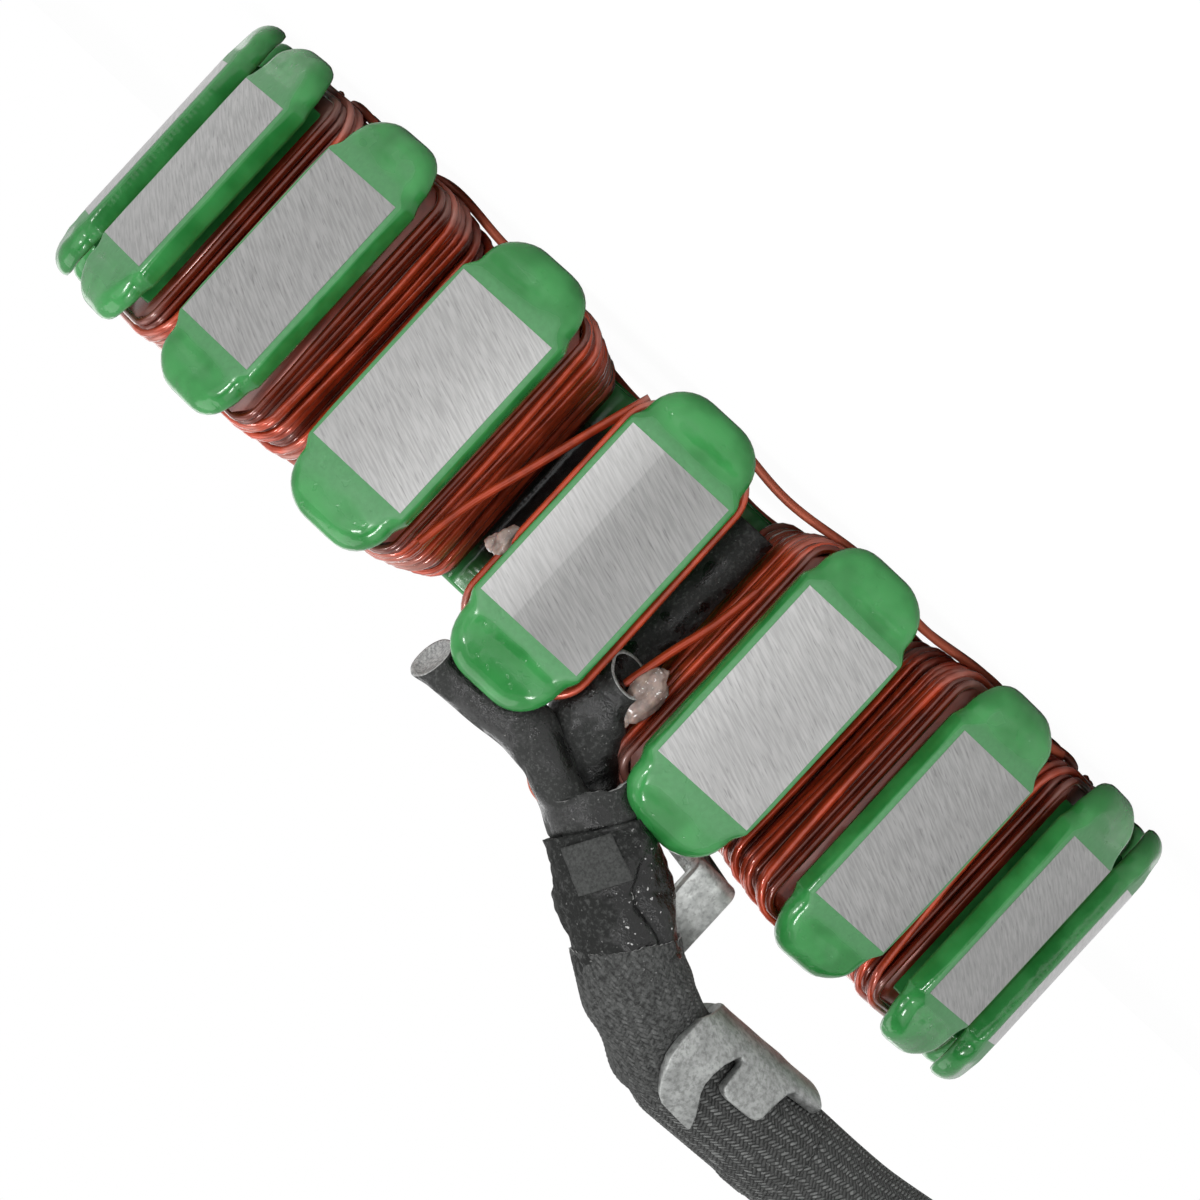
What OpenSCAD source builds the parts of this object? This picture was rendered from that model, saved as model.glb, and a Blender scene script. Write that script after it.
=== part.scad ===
// Wound stator of a flywheel alternator: a coated steel core with wound poles and its output lead.
// The axis is Z, the lead side is up and the back side lies on z = 0. All sizes are in millimetres.

/* [Core] */
// Outside diameter over the ground pole faces
core_d = 105; // [101:0.5:110]
// Diameter of the pilot bore
bore_d = 42; // [38:0.5:44]
// Outside diameter of the yoke ring
yoke_d = 66; // [64:0.5:68]
// Height of the lamination stack
stack_h = 17; // [14:0.5:22]
// Width of a pole's neck
neck_w = 5.6; // [4.8:0.1:6]
// Width of a pole's head across its ground face
head_w = 9.8; // [9:0.1:11]
// Thickness of the head at its edges
head_edge_t = 1.4; // [1.2:0.1:1.6]
// Thickness of the head where it meets the neck
head_root_t = 3; // [2.6:0.1:3.4]
// Thickness of the two end plates
plate_t = 1.3; // [1:0.1:1.5]
// Width of the bent tab at the end of each pole, bare
tab_w = 8.8; // [8:0.1:9.4]
// How far a coated tab stands out past the stack
tab_rise = 5.2; // [4.8:0.1:6]
// Corner radius of a bare tab
tab_corner_r = 3; // [2:0.1:3.6]
// Inside radius of the tab's bend
bend_r = 0.7; // [0.5:0.1:0.9]
// Thickness of the epoxy coat
coat_t = 0.5; // [0.4:0.05:0.6]
// How far the coat on a tab lies below the ground face
coat_dip = 0.25; // [0.1:0.05:0.35]
// How far the head's full width runs on past the stack
shoulder_h = 1; // [0.6:0.1:1.2]
// Rise of the flat coat ring on the back, which the part is bolted down on
seat_rise = 0.2; // [0.1:0.1:0.6]

/* [Mounting] */
// Diameter of the three mounting holes
bolt_hole_d = 6.4; // [5.4:0.1:6.8]
// Circle on which the mounting holes, rivets and bracket screw lie
bolt_circle_d = 54; // [53:0.5:55]
// Shank diameter of the core rivets
rivet_d = 4; // [3:0.1:5]
// Head diameter of the core rivets
rivet_head_d = 7; // [6.5:0.1:7.5]
// Head height of the core rivets
rivet_head_h = 1.6; // [1.2:0.1:2]

/* [Winding] */
// Diameter of the enamelled wire
wire_d = 0.72; // [0.6:0.02:0.76]
// Layers of wire next to the pole head
outer_layers = 3; // [2:1:3]
// Layers of wire next to the yoke
inner_layers = 1; // [1:1:2]
// Turns on the pole that is left nearly bare
bare_pole_turns = 2; // [1:1:4]
// Clearance between a winding and the coat
wind_gap = 0.15; // [0.1:0.05:0.25]
// Height of a jumper wire's middle over the surface that the stator lies on
jumper_z = 0.75; // [0.5:0.05:0.8]
// Distance between the circles of the three phases' jumpers
jumper_step = 1.4; // [1.2:0.1:1.6]

/* [Lead] */
// Diameter of the braided sleeve
sleeve_d = 9.2; // [8.4:0.1:9.6]
// Share of the room between two coils that a splice sleeve takes up
splice_fill = 0.735; // [0.6:0.005:0.75]
// Wall of the splice sleeves
splice_wall = 0.7; // [0.4:0.1:0.9]
// Length of the collar
collar_l = 3.4; // [2.8:0.1:4]
// Largest diameter of the taped bundle
bundle_d = 9.4; // [8.8:0.1:9.8]
// Length of the collar and the taped bundle together
bundle_l = 11.6; // [10.5:0.1:13]

/* [Clamp bracket] */
// Thickness of the bracket's strip
strip_t = 1; // [0.8:0.1:1.2]
// Width of the bracket's arm
strip_w = 4.5; // [3.8:0.1:4.8]
// Height of the clamped sleeve's middle over the core's middle plane
clamp_rise = 25.5; // [25:0.5:29]
// Width of each of the two straps at its narrowest
strap_w = 4.1; // [3.6:0.1:4.4]
// Slot between the straps at its widest
strap_gap = 1.6; // [1.2:0.1:1.8]
// Trough that runs on past the second strap
plate_tail = 5.6; // [3:0.1:6]
// Diameter of the bracket screw
screw_d = 4; // [3:0.1:4.5]

/* [Connector] */
// Length of the connector housing
housing_l = 28; // [24:0.5:30]
// Width of the connector housing
housing_w = 24; // [22:0.5:26]
// Height of the connector housing
housing_h = 13; // [12:0.5:14]
// Width of the three blade terminals
blade_w = 4.8; // [4:0.1:5.2]
// Diameter of the three insulated wires
lead_wire_d = 2.6; // [2.2:0.1:2.9]

/* [Hidden] */
$fn = 48;
// Number of poles, one coil on each
pole_count = 18;
pitch = 360 / pole_count;
core_r = core_d / 2;
bore_r = bore_d / 2;
yoke_r = yoke_d / 2;
bolt_circle_r = bolt_circle_d / 2;
// Heights measured from the middle plane of the core
stack_end = stack_h / 2;
steel_end = stack_end + plate_t;
coat_end = steel_end + coat_t;
mid_z = stack_end + tab_rise;
// The bent tab: faces of the bare sheet and the centre of its bend, as radii
tab_out = core_r - coat_t;
tab_in = tab_out - plate_t;
bend_centre_r = tab_in - bend_r;
strip_in_r = core_r - head_root_t - coat_t;
// The winding's room on a pole
wind_in_r = yoke_r + coat_t + wind_gap;
wind_out_r = core_r - head_root_t - coat_t - wind_gap;
wind_half_w = neck_w / 2 + coat_t + wind_gap;
wind_half_h = coat_end + wind_gap;
wind_corner_r = 3 * wind_gap;
turns = floor((wind_out_r - wind_in_r) / wire_d);
bare_slack = (head_w - neck_w) / 2 - 0.4;
bare_side = wind_half_w + bare_slack + wire_d;
coil_reach = wind_half_h + outer_layers * wire_d;
coil_side = wind_half_w + outer_layers * wire_d;
coil_top = mid_z + coil_reach;
// Resin: a dab on the coil next to the nearly bare pole and a drop on that pole's slack turns
dab_r = 2.2;
dab_h = 0.6;
dab_rise = 7.2;
drop_r = 1.3;
drop_rise = 4.7;
// Jumpers lie on the back ends of the coils
jumper_r = wind_out_r - 2;
jumper_span = 2 * pitch + 12;
jumper_start = (3 * pitch - jumper_span) / 2;
jumpers_per_phase = pole_count / 3 - 1;
// Directions of the mounting holes, of the rivets and of the bracket
bolt_angles = [30, 150, 270];
rivet_angles = [90, 210, 330];
bracket_angle = -120.5;
fit_gap = 0.1;
bore_relief = 0.4;
rivet_clear_r = rivet_head_d / 2 + fit_gap;
// The clamp: the strip's folds as radii and heights, the held sleeve's middle and its direction
foot_z = mid_z + coat_end;
riser_r = bolt_circle_r + 5;
run_z = coil_top + fit_gap + strip_t / 2;
arm_r = core_r - 6;
clamp_z = mid_z + clamp_rise;
grip_r = sleeve_d / 2 + fit_gap;
grip_axis_r = arm_r + strip_t / 2 + grip_r;
clamp_dir = [sin(bracket_angle), -cos(bracket_angle), 0];
strap_1_s = 0.8;
strap_2_s = strap_1_s + strap_w + strap_gap;
plate_end_s = strap_2_s + strap_w + plate_tail;
plate_top = 2.5;
// Front outline of the trough and its two straps: place along the sleeve, height over the sleeve's middle
strap_1_end = strap_1_s + strap_w;
strap_2_end = strap_2_s + strap_w + 0.4;
trough_low = -grip_r - 2 * strip_t;
trough_lag = 3.4;
strap_outline = [
    [strap_1_s + trough_lag, trough_low],
    [strap_1_s + 2.6, -5.3],
    [strap_1_s + 0.8, -4.2],
    [strap_1_s, -2],
    [strap_1_s, 0],
    [strap_1_s + 1.2, 1.8],
    [strap_1_s + 2.8, 2.9],
    [strap_1_end + 2.4, 3.1],
    [strap_1_end + 0.9, 1],
    [strap_1_end, -0.6],
    [strap_1_end + 0.6, -2.6],
    [strap_1_end + 1.6, -3.8],
    [strap_2_s + 0.6, -3.8],
    [strap_2_s + 0.1, -2.4],
    [strap_2_s, -1.4],
    [strap_2_s + 0.9, -0.7],
    [strap_2_end - 0.6, -0.8],
    [strap_2_end, -1.4],
    [strap_2_end + 0.7, -3],
    [strap_2_end + 1.9, -4.5],
    [plate_end_s, -4.5],
    [plate_end_s, trough_low],
];
strap_turn = 60;
screw_head_d = 7.5;
screw_head_h = 2.4;
screw_l = 9;
foot_round_r = 4.5;
// Sleeves between the coils: their place and what room there is
splice_y = -(core_r - 5.9);
splice_x = splice_y * tan(pitch / 2) + 0.3;
splice_room = 2 * (-splice_y * tan(pitch / 2) - coil_side);
splice_d = splice_fill * splice_room;
splice_bore_d = splice_d - 2 * splice_wall;
slot_sleeve_d = splice_d - 0.2;
slot_sleeve_y = splice_y + (splice_d + slot_sleeve_d) / 2 + 0.3;
slot_sleeve_x = slot_sleeve_y * tan(pitch / 2);
// The lead: the collar's mouth and the direction in which the bundle leaves it
collar_wall = 0.3;
collar_d = 2 * (splice_d + fit_gap + collar_wall);
collar_seat = 1.2;
collar_run = 13.6;
collar_mouth = [grip_point(0).x + collar_run, -(core_r - 6), coil_top + 3.85];
bundle_tilt = -55.6;
bundle_dir = [sin(bundle_tilt), 0, cos(bundle_tilt)];
sleeve_mouth = collar_mouth + bundle_l * bundle_dir;
held_tail = 1.5;
held_bend = 2.2;
held_gap = 0.7;
sleeve_exit = grip_point(plate_end_s + held_tail);
lead_start = grip_point(plate_end_s + held_tail + 2 * fit_gap);
splice_mouth_z = mid_z + stack_end - 2.7;
splice_a_y = -(core_r - coat_t - plate_t - coat_t - splice_d / 2 - 0.4);
// Routes: splice sleeve A runs behind the tab, splice sleeve B comes up out of the slot
splice_side = splice_d / 2 + fit_gap / 2;
splice_bore_l = 2.5;
splice_a_end = collar_mouth - [0, splice_side, 0];
splice_b_end = collar_mouth + [0, splice_side, 0];
splice_a_route = [
    [4.2, splice_a_y, coil_top + 2.4],
    [1, splice_a_y, coil_top + 2.2],
    [-3, splice_a_y, coil_top + 2.2],
    [-7, splice_a_y - 1, coil_top + 2.5],
    splice_a_end,
];
splice_b_route = [
    [splice_x, splice_y, splice_mouth_z],
    [splice_x, splice_y + 0.2, splice_mouth_z + 3],
    [splice_x - 0.2, splice_y + 0.9, coil_top - 0.4],
    [splice_x - 1.3, splice_y + 2.2, coil_top + 2.3],
    splice_b_end,
];
slot_sleeve_back_z = mid_z - coil_reach;
slot_sleeve_l = splice_mouth_z + 2 - slot_sleeve_back_z;
// Two single wires that cross the slots beside the nearly bare pole
crossing_wire_route = [
    [10.8, -(core_r - 4.8), coil_top - 3.4],
    [10, -(core_r - 4.9), coil_top - 8],
    [8.3, -(core_r - 4.7), mid_z - 1],
    [7, -(core_r - 4.4), mid_z - 6.4],
    [6.5, -(core_r - 4.6), mid_z - 10.4],
];
entry_wire_route = [
    [-10.7, -(core_r - 5.7), mid_z - 5.5],
    [-10.1, -(core_r - 5.6), mid_z - 1.6],
    [-9, -(core_r - 5.6), mid_z + 2.4],
    [splice_x, splice_y, splice_mouth_z + 1.5],
];
// Route of the free lead: out of the clamp, down to the table, round one turn and back to the connector
lead_floor_z = 4.7;
lead_turn_r = 40;
lead_turn_x = -165;
lead_row_y = -22;
lead_end_x = -144;
lead_route = concat(
    [
        lead_start,
        lead_start + 11 * clamp_dir,
        [-62, -25, 37.6],
        [-74, -22.6, 33],
        [-88, -22, 24],
        [-102, -22, 14.5],
        [-116, -22, 8],
        [-130, -22, 5.2],
        [-148, lead_row_y, lead_floor_z],
    ],
    [
        for (a = [0 : 20 : 180])
            [lead_turn_x - lead_turn_r * sin(a), lead_row_y + lead_turn_r * (1 - cos(a)), lead_floor_z]
    ],
    [[lead_end_x, lead_row_y + 2 * lead_turn_r, lead_floor_z]]
);
lead_wire_l = 10;
lead_wire_step = 3.2;
housing_x = lead_end_x + lead_wire_l;
housing_y = lead_row_y + 2 * lead_turn_r;
housing_wall = 1.6;
housing_back = 8;
blade_step = 7;
blade_t = 0.8;
blade_l = 14;

coil_names = [
    "coil_01", "coil_02", "coil_03", "coil_04", "coil_05", "coil_06", "coil_07", "coil_08", "coil_09",
    "coil_10", "coil_11", "coil_12", "coil_13", "coil_14", "coil_15", "coil_16", "coil_17", "coil_18",
];

// Small helpers
function pole_angle(k) = -90 - k * pitch;
function polar(r, a, z) = [r * cos(a), r * sin(a), z];
function grip_point(s) = polar(grip_axis_r, bracket_angle, clamp_z) + s * clamp_dir;
function unit(v) = v / norm(v);
function bezier(p, t) =
    pow(1 - t, 3) * p[0] + 3 * t * pow(1 - t, 2) * p[1] + 3 * t * t * (1 - t) * p[2] + pow(t, 3) * p[3];
// A point of a smooth curve through a route, t counted in route points
function route_point(route, t) =
    let (n = len(route) - 1, i = min(floor(t), n - 1), f = t - i,
        a = route[max(i - 1, 0)], b = route[i], c = route[i + 1], d = route[min(i + 2, n)])
    b + f * (c - a) / 2 + f * f * (2 * a - 5 * b + 4 * c - d) / 2 + f * f * f * (3 * b - a - 3 * c + d) / 2;
function smooth_route(route, steps) =
    [for (i = [0 : steps]) route_point(route, i * (len(route) - 1) / steps)];
function direction(path, i) = unit(path[min(i + 1, len(path) - 1)] - path[max(i - 1, 0)]);

// A round tube swept along a path; side_hint must not lie along the path
module tube(path, d, sides, side_hint = [0, 0, 1]) {
    count = len(path);
    points = [
        for (i = [0 : count - 1])
            let (along = direction(path, i), u = unit(cross(side_hint, along)), v = cross(along, u))
            for (j = [0 : sides - 1])
                path[i] + d / 2 * (cos(360 * j / sides) * u + sin(360 * j / sides) * v)
    ];
    walls = [
        for (i = [0 : count - 2], j = [0 : sides - 1])
            let (k = (j + 1) % sides)
            [i * sides + j, (i + 1) * sides + j, (i + 1) * sides + k, i * sides + k]
    ];
    start_cap = [for (j = [0 : sides - 1]) j];
    end_cap = [for (j = [sides - 1 : -1 : 0]) (count - 1) * sides + j];
    polyhedron(points, concat(walls, [start_cap, end_cap]), convexity = 6);
}

// Plan of one pole lying along +X, grown by a coat
module pole_plan(grow) {
    neck = neck_w / 2 + grow;
    head = head_w / 2 + grow;
    edge_r = core_r - head_edge_t - grow;
    root_r = core_r - head_root_t - grow;
    inside = yoke_r - 2;
    outside = core_r + 1;
    polygon([
        [inside, -neck], [root_r, -neck], [edge_r, -head], [outside, -head],
        [outside, head], [edge_r, head], [root_r, neck], [inside, neck],
    ]);
}

// Plan of the whole core
module core_plan(grow) {
    intersection() {
        circle(core_r, $fn = 180);
        union() {
            circle(yoke_r + grow, $fn = 120);
            for (k = [0 : pole_count - 1]) rotate(pole_angle(k)) pole_plan(grow);
        }
    }
}

// Plan of an end plate up to the bends of its tabs
module plate_plan(grow) {
    circle(yoke_r + grow, $fn = 120);
    for (k = [0 : pole_count - 1]) rotate(pole_angle(k)) {
        translate([yoke_r - 2, -neck_w / 2 - grow]) square([bend_centre_r - yoke_r + 2, neck_w + 2 * grow]);
        translate([strip_in_r + coat_t - grow, -tab_w / 2 - grow])
            square([bend_centre_r - strip_in_r - coat_t + grow, tab_w + 2 * grow]);
    }
}

// Bore, mounting holes, rivet holes and screw hole
module core_holes(pilot_r, rivet_hole_r) {
    circle(pilot_r, $fn = 120);
    for (a = bolt_angles) rotate(a) translate([bolt_circle_r, 0]) circle(d = bolt_hole_d);
    for (a = rivet_angles) rotate(a) translate([bolt_circle_r, 0]) circle(rivet_hole_r);
    rotate(bracket_angle) translate([bolt_circle_r, 0]) circle(d = screw_d + 2 * fit_gap);
}

module at_both_ends() {
    translate([0, 0, mid_z + stack_end]) children();
    translate([0, 0, mid_z - stack_end]) mirror([0, 0, 1]) children();
}

// Section of the bare tab, radius against height over the stack
module tab_section() {
    bend_z = plate_t + bend_r;
    tip_z = tab_rise - coat_t - plate_t / 2;
    intersection() {
        translate([bend_centre_r, bend_z]) difference() {
            circle(bend_r + plate_t);
            circle(bend_r);
        }
        translate([bend_centre_r, 0]) square([bend_r + plate_t, bend_z]);
    }
    translate([tab_in, bend_z]) square([plate_t, tip_z - bend_z]);
    translate([tab_in + plate_t / 2, tip_z]) circle(plate_t / 2);
}

// Section of the coat over a tab: flush next to the ground face, then a little lower
module coated_tab_section() {
    inner = tab_in - coat_t;
    outer = core_r - coat_dip;
    tip_r = (outer - inner) / 2;
    translate([strip_in_r, 0]) square([core_r - strip_in_r, plate_t + coat_t]);
    translate([inner, plate_t]) square([outer - inner, tab_rise - tip_r - plate_t]);
    translate([inner + tip_r, tab_rise - tip_r]) circle(tip_r);
    translate([inner - bend_r, plate_t + coat_t]) difference() {
        square(bend_r);
        translate([0, bend_r]) circle(bend_r);
    }
}

// Outline of a tab seen from outside, with rounded tip corners
module tab_outline(w, rise, corner_r) {
    translate([-w / 2, 0]) square([w, rise - corner_r]);
    translate([-w / 2 + corner_r, 0]) square([w - 2 * corner_r, rise]);
    for (s = [-1, 1]) translate([s * (w / 2 - corner_r), rise - corner_r]) circle(corner_r);
}

// A tab on a pole lying along +X: its section seen from the side, cut to its outline
module tab(w, rise, corner_r) {
    intersection() {
        rotate([90, 0, 0]) linear_extrude(w + 1, center = true) children();
        translate([strip_in_r - 1, 0, 0]) rotate([90, 0, 90])
            linear_extrude(core_r - strip_in_r + 2) tab_outline(w, rise, corner_r);
    }
}

module plate_tabs() {
    for (k = [0 : pole_count - 1]) rotate(pole_angle(k))
        tab(tab_w, tab_rise - coat_t, tab_corner_r) tab_section();
}

// One end plate, lying on z = 0 with its tabs up
module end_plate() {
    linear_extrude(plate_t) difference() {
        plate_plan(0);
        core_holes(bore_r + bore_relief, rivet_d / 2 + fit_gap);
    }
    plate_tabs();
}

module lamination_stack() {
    color("silver") translate([0, 0, mid_z - stack_end]) linear_extrude(stack_h) difference() {
        core_plan(0);
        core_holes(bore_r, rivet_d / 2 + fit_gap);
    }
}

module end_plate_lead_side() {
    color("darkgray") translate([0, 0, mid_z + stack_end]) end_plate();
}

module end_plate_back() {
    color("darkgray") translate([0, 0, mid_z - stack_end]) mirror([0, 0, 1]) end_plate();
}

// Coat over one end plate, lying on z = 0
module end_coat() {
    difference() {
        union() {
            linear_extrude(shoulder_h) difference() {
                core_plan(coat_t);
                circle(strip_in_r, $fn = 180);
            }
            linear_extrude(plate_t + coat_t) difference() {
                plate_plan(coat_t);
                core_holes(bore_r + bore_relief, rivet_clear_r);
            }
            intersection() {
                for (k = [0 : pole_count - 1]) rotate(pole_angle(k))
                    tab(tab_w + 2 * coat_t, tab_rise, tab_corner_r + coat_t) coated_tab_section();
                cylinder(h = tab_rise + 1, r = core_r, $fn = 180);
            }
        }
        end_plate();
    }
}

module epoxy_coat() {
    color("mediumseagreen") {
        translate([0, 0, mid_z - stack_end]) linear_extrude(stack_h) difference() {
            core_plan(coat_t);
            core_plan(0);
        }
        at_both_ends() end_coat();
        translate([0, 0, mid_z - stack_end]) mirror([0, 0, 1]) back_seat();
    }
}

// Flat ring of coat on the back, clear of the coils and over the flush rivets
module back_seat() {
    translate([0, 0, plate_t + coat_t / 2]) linear_extrude(coat_t / 2 + seat_rise) difference() {
        circle(yoke_r - 0.5, $fn = 120);
        core_holes(bore_r + bore_relief, rivet_clear_r);
    }
}

// Rivets through the stack and both end plates, a low dome on the lead side and a flush head on the back
module core_rivets() {
    dome_r = (pow(rivet_head_d / 2, 2) + pow(rivet_head_h, 2)) / (2 * rivet_head_h);
    color("silver") for (a = rivet_angles) rotate(a) translate([bolt_circle_r, 0, mid_z]) {
        cylinder(h = 2 * steel_end, d = rivet_d, center = true);
        translate([0, 0, steel_end]) rotate_extrude() intersection() {
            translate([0, rivet_head_h - dome_r]) circle(dome_r);
            square([rivet_head_d, rivet_head_h]);
        }
        translate([0, 0, -coat_end]) cylinder(h = coat_t, d = rivet_head_d);
    }
}

// Section of a winding beside its pole: layers of wire, thinner towards the yoke, each outer turn a ridge
module winding_section(first_turn, inner_build, outer_build) {
    low = wind_out_r - turns * wire_d + first_turn * wire_d;
    slope = (outer_build - inner_build) / (wind_out_r - low);
    ridge = [[-0.35, 0.02], [0, 0.3], [0, 0.7], [-0.35, 0.98]];
    outline = [
        for (i = [0 : turns - first_turn - 1], corner = ridge)
            let (r = low + (i + corner.y) * wire_d, build = inner_build + slope * (i + 0.5) * wire_d)
            [wind_corner_r + build + corner.x * wire_d, r]
    ];
    polygon(concat([[wind_corner_r, low]], outline, [[wind_corner_r, wind_out_r]]));
}

// A winding section taken once round a pole that stands along +Z, with some slack at its sides
module around_pole(slack) {
    w = wind_half_w - wind_corner_r + slack;
    h = wind_half_h - wind_corner_r;
    for (s = [0, 180]) rotate(s) {
        translate([w, h, 0]) rotate([90, 0, 0]) linear_extrude(2 * h) children();
        rotate(90) translate([h, w, 0]) rotate([90, 0, 0]) linear_extrude(2 * w) children();
        translate([w, h, 0]) rotate_extrude(angle = 90) children();
        translate([-w, h, 0]) rotate(90) rotate_extrude(angle = 90) children();
    }
}

// The coil on pole k; pole 0 has only a few turns under its head
module coil(k) {
    sparse = k == 0;
    first = sparse ? turns - bare_pole_turns : 0;
    outer = sparse ? wire_d : outer_layers * wire_d;
    inner = sparse ? wire_d : inner_layers * wire_d;
    color("sienna") translate([0, 0, mid_z]) rotate(pole_angle(k)) rotate([0, 90, 0]) rotate(90)
        around_pole(sparse ? bare_slack : 0) winding_section(first, inner, outer);
}

// Jumpers of one phase, each lying over the back ends of two coils
module jumpers(phase) {
    color("chocolate") for (i = [0 : jumpers_per_phase - 1])
        translate([0, 0, jumper_z]) rotate(pole_angle(phase + 3 * i + 3) + jumper_start)
            rotate_extrude(angle = jumper_span)
                translate([jumper_r - phase * jumper_step, 0]) circle(d = wire_d, $fn = 16);
}

module phase_a_jumpers() jumpers(0);
module phase_b_jumpers() jumpers(1);
module phase_c_jumpers() jumpers(2);

module crossing_wire() {
    color("chocolate") tube(smooth_route(crossing_wire_route, 12), wire_d, 8, [1, 0, 0]);
}

module entry_wire() {
    color("chocolate") tube(smooth_route(entry_wire_route, 9), wire_d, 8, [1, 0, 0]);
}

module splice_sleeve_a() {
    color("dimgray") difference() {
        tube(smooth_route(splice_a_route, 12), splice_d, 12);
        translate(splice_a_route[0]) rotate([0, -90, 0])
            cylinder(h = 2 * splice_bore_l, d = splice_bore_d, center = true);
    }
}

module splice_sleeve_b() {
    color("dimgray") difference() {
        tube(smooth_route(splice_b_route, 12), splice_d, 12, [1, 0, 0]);
        translate(splice_b_route[0]) cylinder(h = 2 * splice_bore_l, d = splice_bore_d, center = true);
    }
}

module slot_sleeve() {
    color("dimgray") translate([slot_sleeve_x, slot_sleeve_y, slot_sleeve_back_z]) difference() {
        cylinder(h = slot_sleeve_l, d = slot_sleeve_d);
        for (z = [0, slot_sleeve_l]) translate([0, 0, z])
            cylinder(h = 2 * splice_bore_l, d = splice_bore_d, center = true);
    }
}

module along_bundle() {
    translate(collar_mouth) rotate([0, bundle_tilt, 0]) children();
}

module bundle_collar() {
    color("dimgray") along_bundle() rotate_extrude()
        translate([collar_d / 2 - collar_wall, 0]) square([collar_wall, collar_l]);
}

// The taped bundle: a barrel whose thin end sits in the collar
module taped_bundle() {
    neck_r = collar_d / 2 - collar_wall;
    belly_r = bundle_d / 2;
    belly_l = bundle_l - collar_l;
    bow_r = (pow(belly_l / 2, 2) + pow(belly_r - neck_r, 2)) / (2 * (belly_r - neck_r));
    color("dimgray") along_bundle() rotate_extrude() {
        translate([0, collar_seat]) square([neck_r, collar_l - collar_seat]);
        intersection() {
            translate([0, collar_l]) square([belly_r, belly_l]);
            translate([belly_r - bow_r, collar_l + belly_l / 2]) circle(bow_r, $fn = 180);
        }
    }
}

// A dab of clear resin on a pole's coil: a low dome on the coil's side
module dab(k, side, r, rise, size) {
    ball_r = (size * size + dab_h * dab_h) / (2 * dab_h);
    translate([0, 0, rise]) rotate(pole_angle(k)) translate([r, side * (coil_side + fit_gap / 2), 0])
        rotate([-side * 90, 0, 0]) intersection() {
            translate([0, 0, dab_h - ball_r]) sphere(ball_r);
            translate([-size, -size, 0]) cube([2 * size, 2 * size, dab_h]);
        }
}

// The dab, and a drop that hangs on the slack turns
module resin_dabs() {
    color("rosybrown") {
        dab(1, 1, wind_out_r - dab_r - fit_gap, mid_z + dab_rise, dab_r);
        difference() {
            translate([bare_side, wire_d - wind_out_r, mid_z + drop_rise]) sphere(drop_r);
            coil(0);
        }
    }
}

// A folded strip's section: straight runs with rounded folds
module folded_section(points) {
    for (i = [0 : len(points) - 2]) {
        run = points[i + 1] - points[i];
        translate(points[i]) rotate(atan2(run.y, run.x)) translate([0, -strip_t / 2])
            square([norm(run), strip_t]);
    }
    for (i = [1 : len(points) - 2]) translate(points[i]) circle(d = strip_t);
}

// Section of the straps: a hook from the plate, under the sleeve and up its front
module strap_section() {
    reach = 3 * grip_r;
    tip = reach * [cos(strap_turn), sin(strap_turn)];
    difference() {
        circle(grip_r + strip_t, $fn = 96);
        circle(grip_r, $fn = 96);
        polygon([[0, 0], tip, tip + [0, 2 * reach], [-reach, 2 * reach], [-reach, 0]]);
    }
}

// The trough under the sleeve with its two straps, the front cut to its outline
module straps() {
    reach = grip_r + 2 * strip_t;
    translate([grip_axis_r, 0, clamp_z]) intersection() {
        rotate([90, 0, 0]) linear_extrude(plate_end_s) strap_section();
        union() {
            translate([-reach, -plate_end_s, -reach]) cube([reach, plate_end_s - strap_1_s - trough_lag, reach]);
            rotate([90, 0, 90]) linear_extrude(reach) polygon([for (p = strap_outline) [-p.x, p.y]]);
        }
    }
}

module clamp_bracket() {
    foot_mid_z = foot_z + strip_t / 2;
    plate_bottom = clamp_z - grip_r;
    color("lightgray") difference() {
        rotate(bracket_angle) {
            translate([0, strip_w / 2, 0]) rotate([90, 0, 0]) linear_extrude(strip_w) folded_section([
                [bolt_circle_r, foot_mid_z], [riser_r, foot_mid_z], [riser_r, run_z], [arm_r, run_z],
                [arm_r, clamp_z + plate_top],
            ]);
            translate([bolt_circle_r, 0, foot_z]) cylinder(h = strip_t, r = foot_round_r);
            translate([arm_r - strip_t / 2, -plate_end_s, plate_bottom])
                cube([strip_t, plate_end_s + strip_w / 2, clamp_z + plate_top - plate_bottom]);
            straps();
        }
        rotate(bracket_angle) translate([bolt_circle_r, 0, foot_z - 1])
            cylinder(h = strip_t + 2, d = screw_d + 2 * fit_gap);
    }
}

module bracket_screw() {
    color("silver") rotate(bracket_angle) translate([bolt_circle_r, 0, foot_z + strip_t]) {
        translate([0, 0, -screw_l]) cylinder(h = screw_l, d = screw_d);
        difference() {
            cylinder(h = screw_head_h, d = screw_head_d);
            for (a = [0, 90]) rotate(a) translate([-2, -0.5, screw_head_h - 1.2]) cube([4, 1, 2]);
        }
    }
}

// The held stretch of the sleeve: a bend from the bundle into the clamp, then straight through it
module braided_sleeve_held() {
    into_clamp = grip_point(strap_1_s - 0.1);
    start = sleeve_mouth + held_gap * bundle_dir;
    bend = [start, start + held_bend * bundle_dir, into_clamp - held_bend * clamp_dir, into_clamp];
    path = concat([for (t = [0 : 0.125 : 1]) bezier(bend, t)], [grip_point(plate_end_s / 2), sleeve_exit]);
    color("dimgray") tube(path, sleeve_d, 24);
}

module braided_sleeve_free() {
    color("dimgray") tube(smooth_route(lead_route, 60), sleeve_d, 12);
}

module lead_wires() {
    color("black") for (i = [-1 : 1])
        translate([lead_end_x + fit_gap, housing_y + i * lead_wire_step, lead_floor_z]) rotate([0, 90, 0])
            cylinder(h = lead_wire_l - fit_gap, d = lead_wire_d);
}

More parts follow.
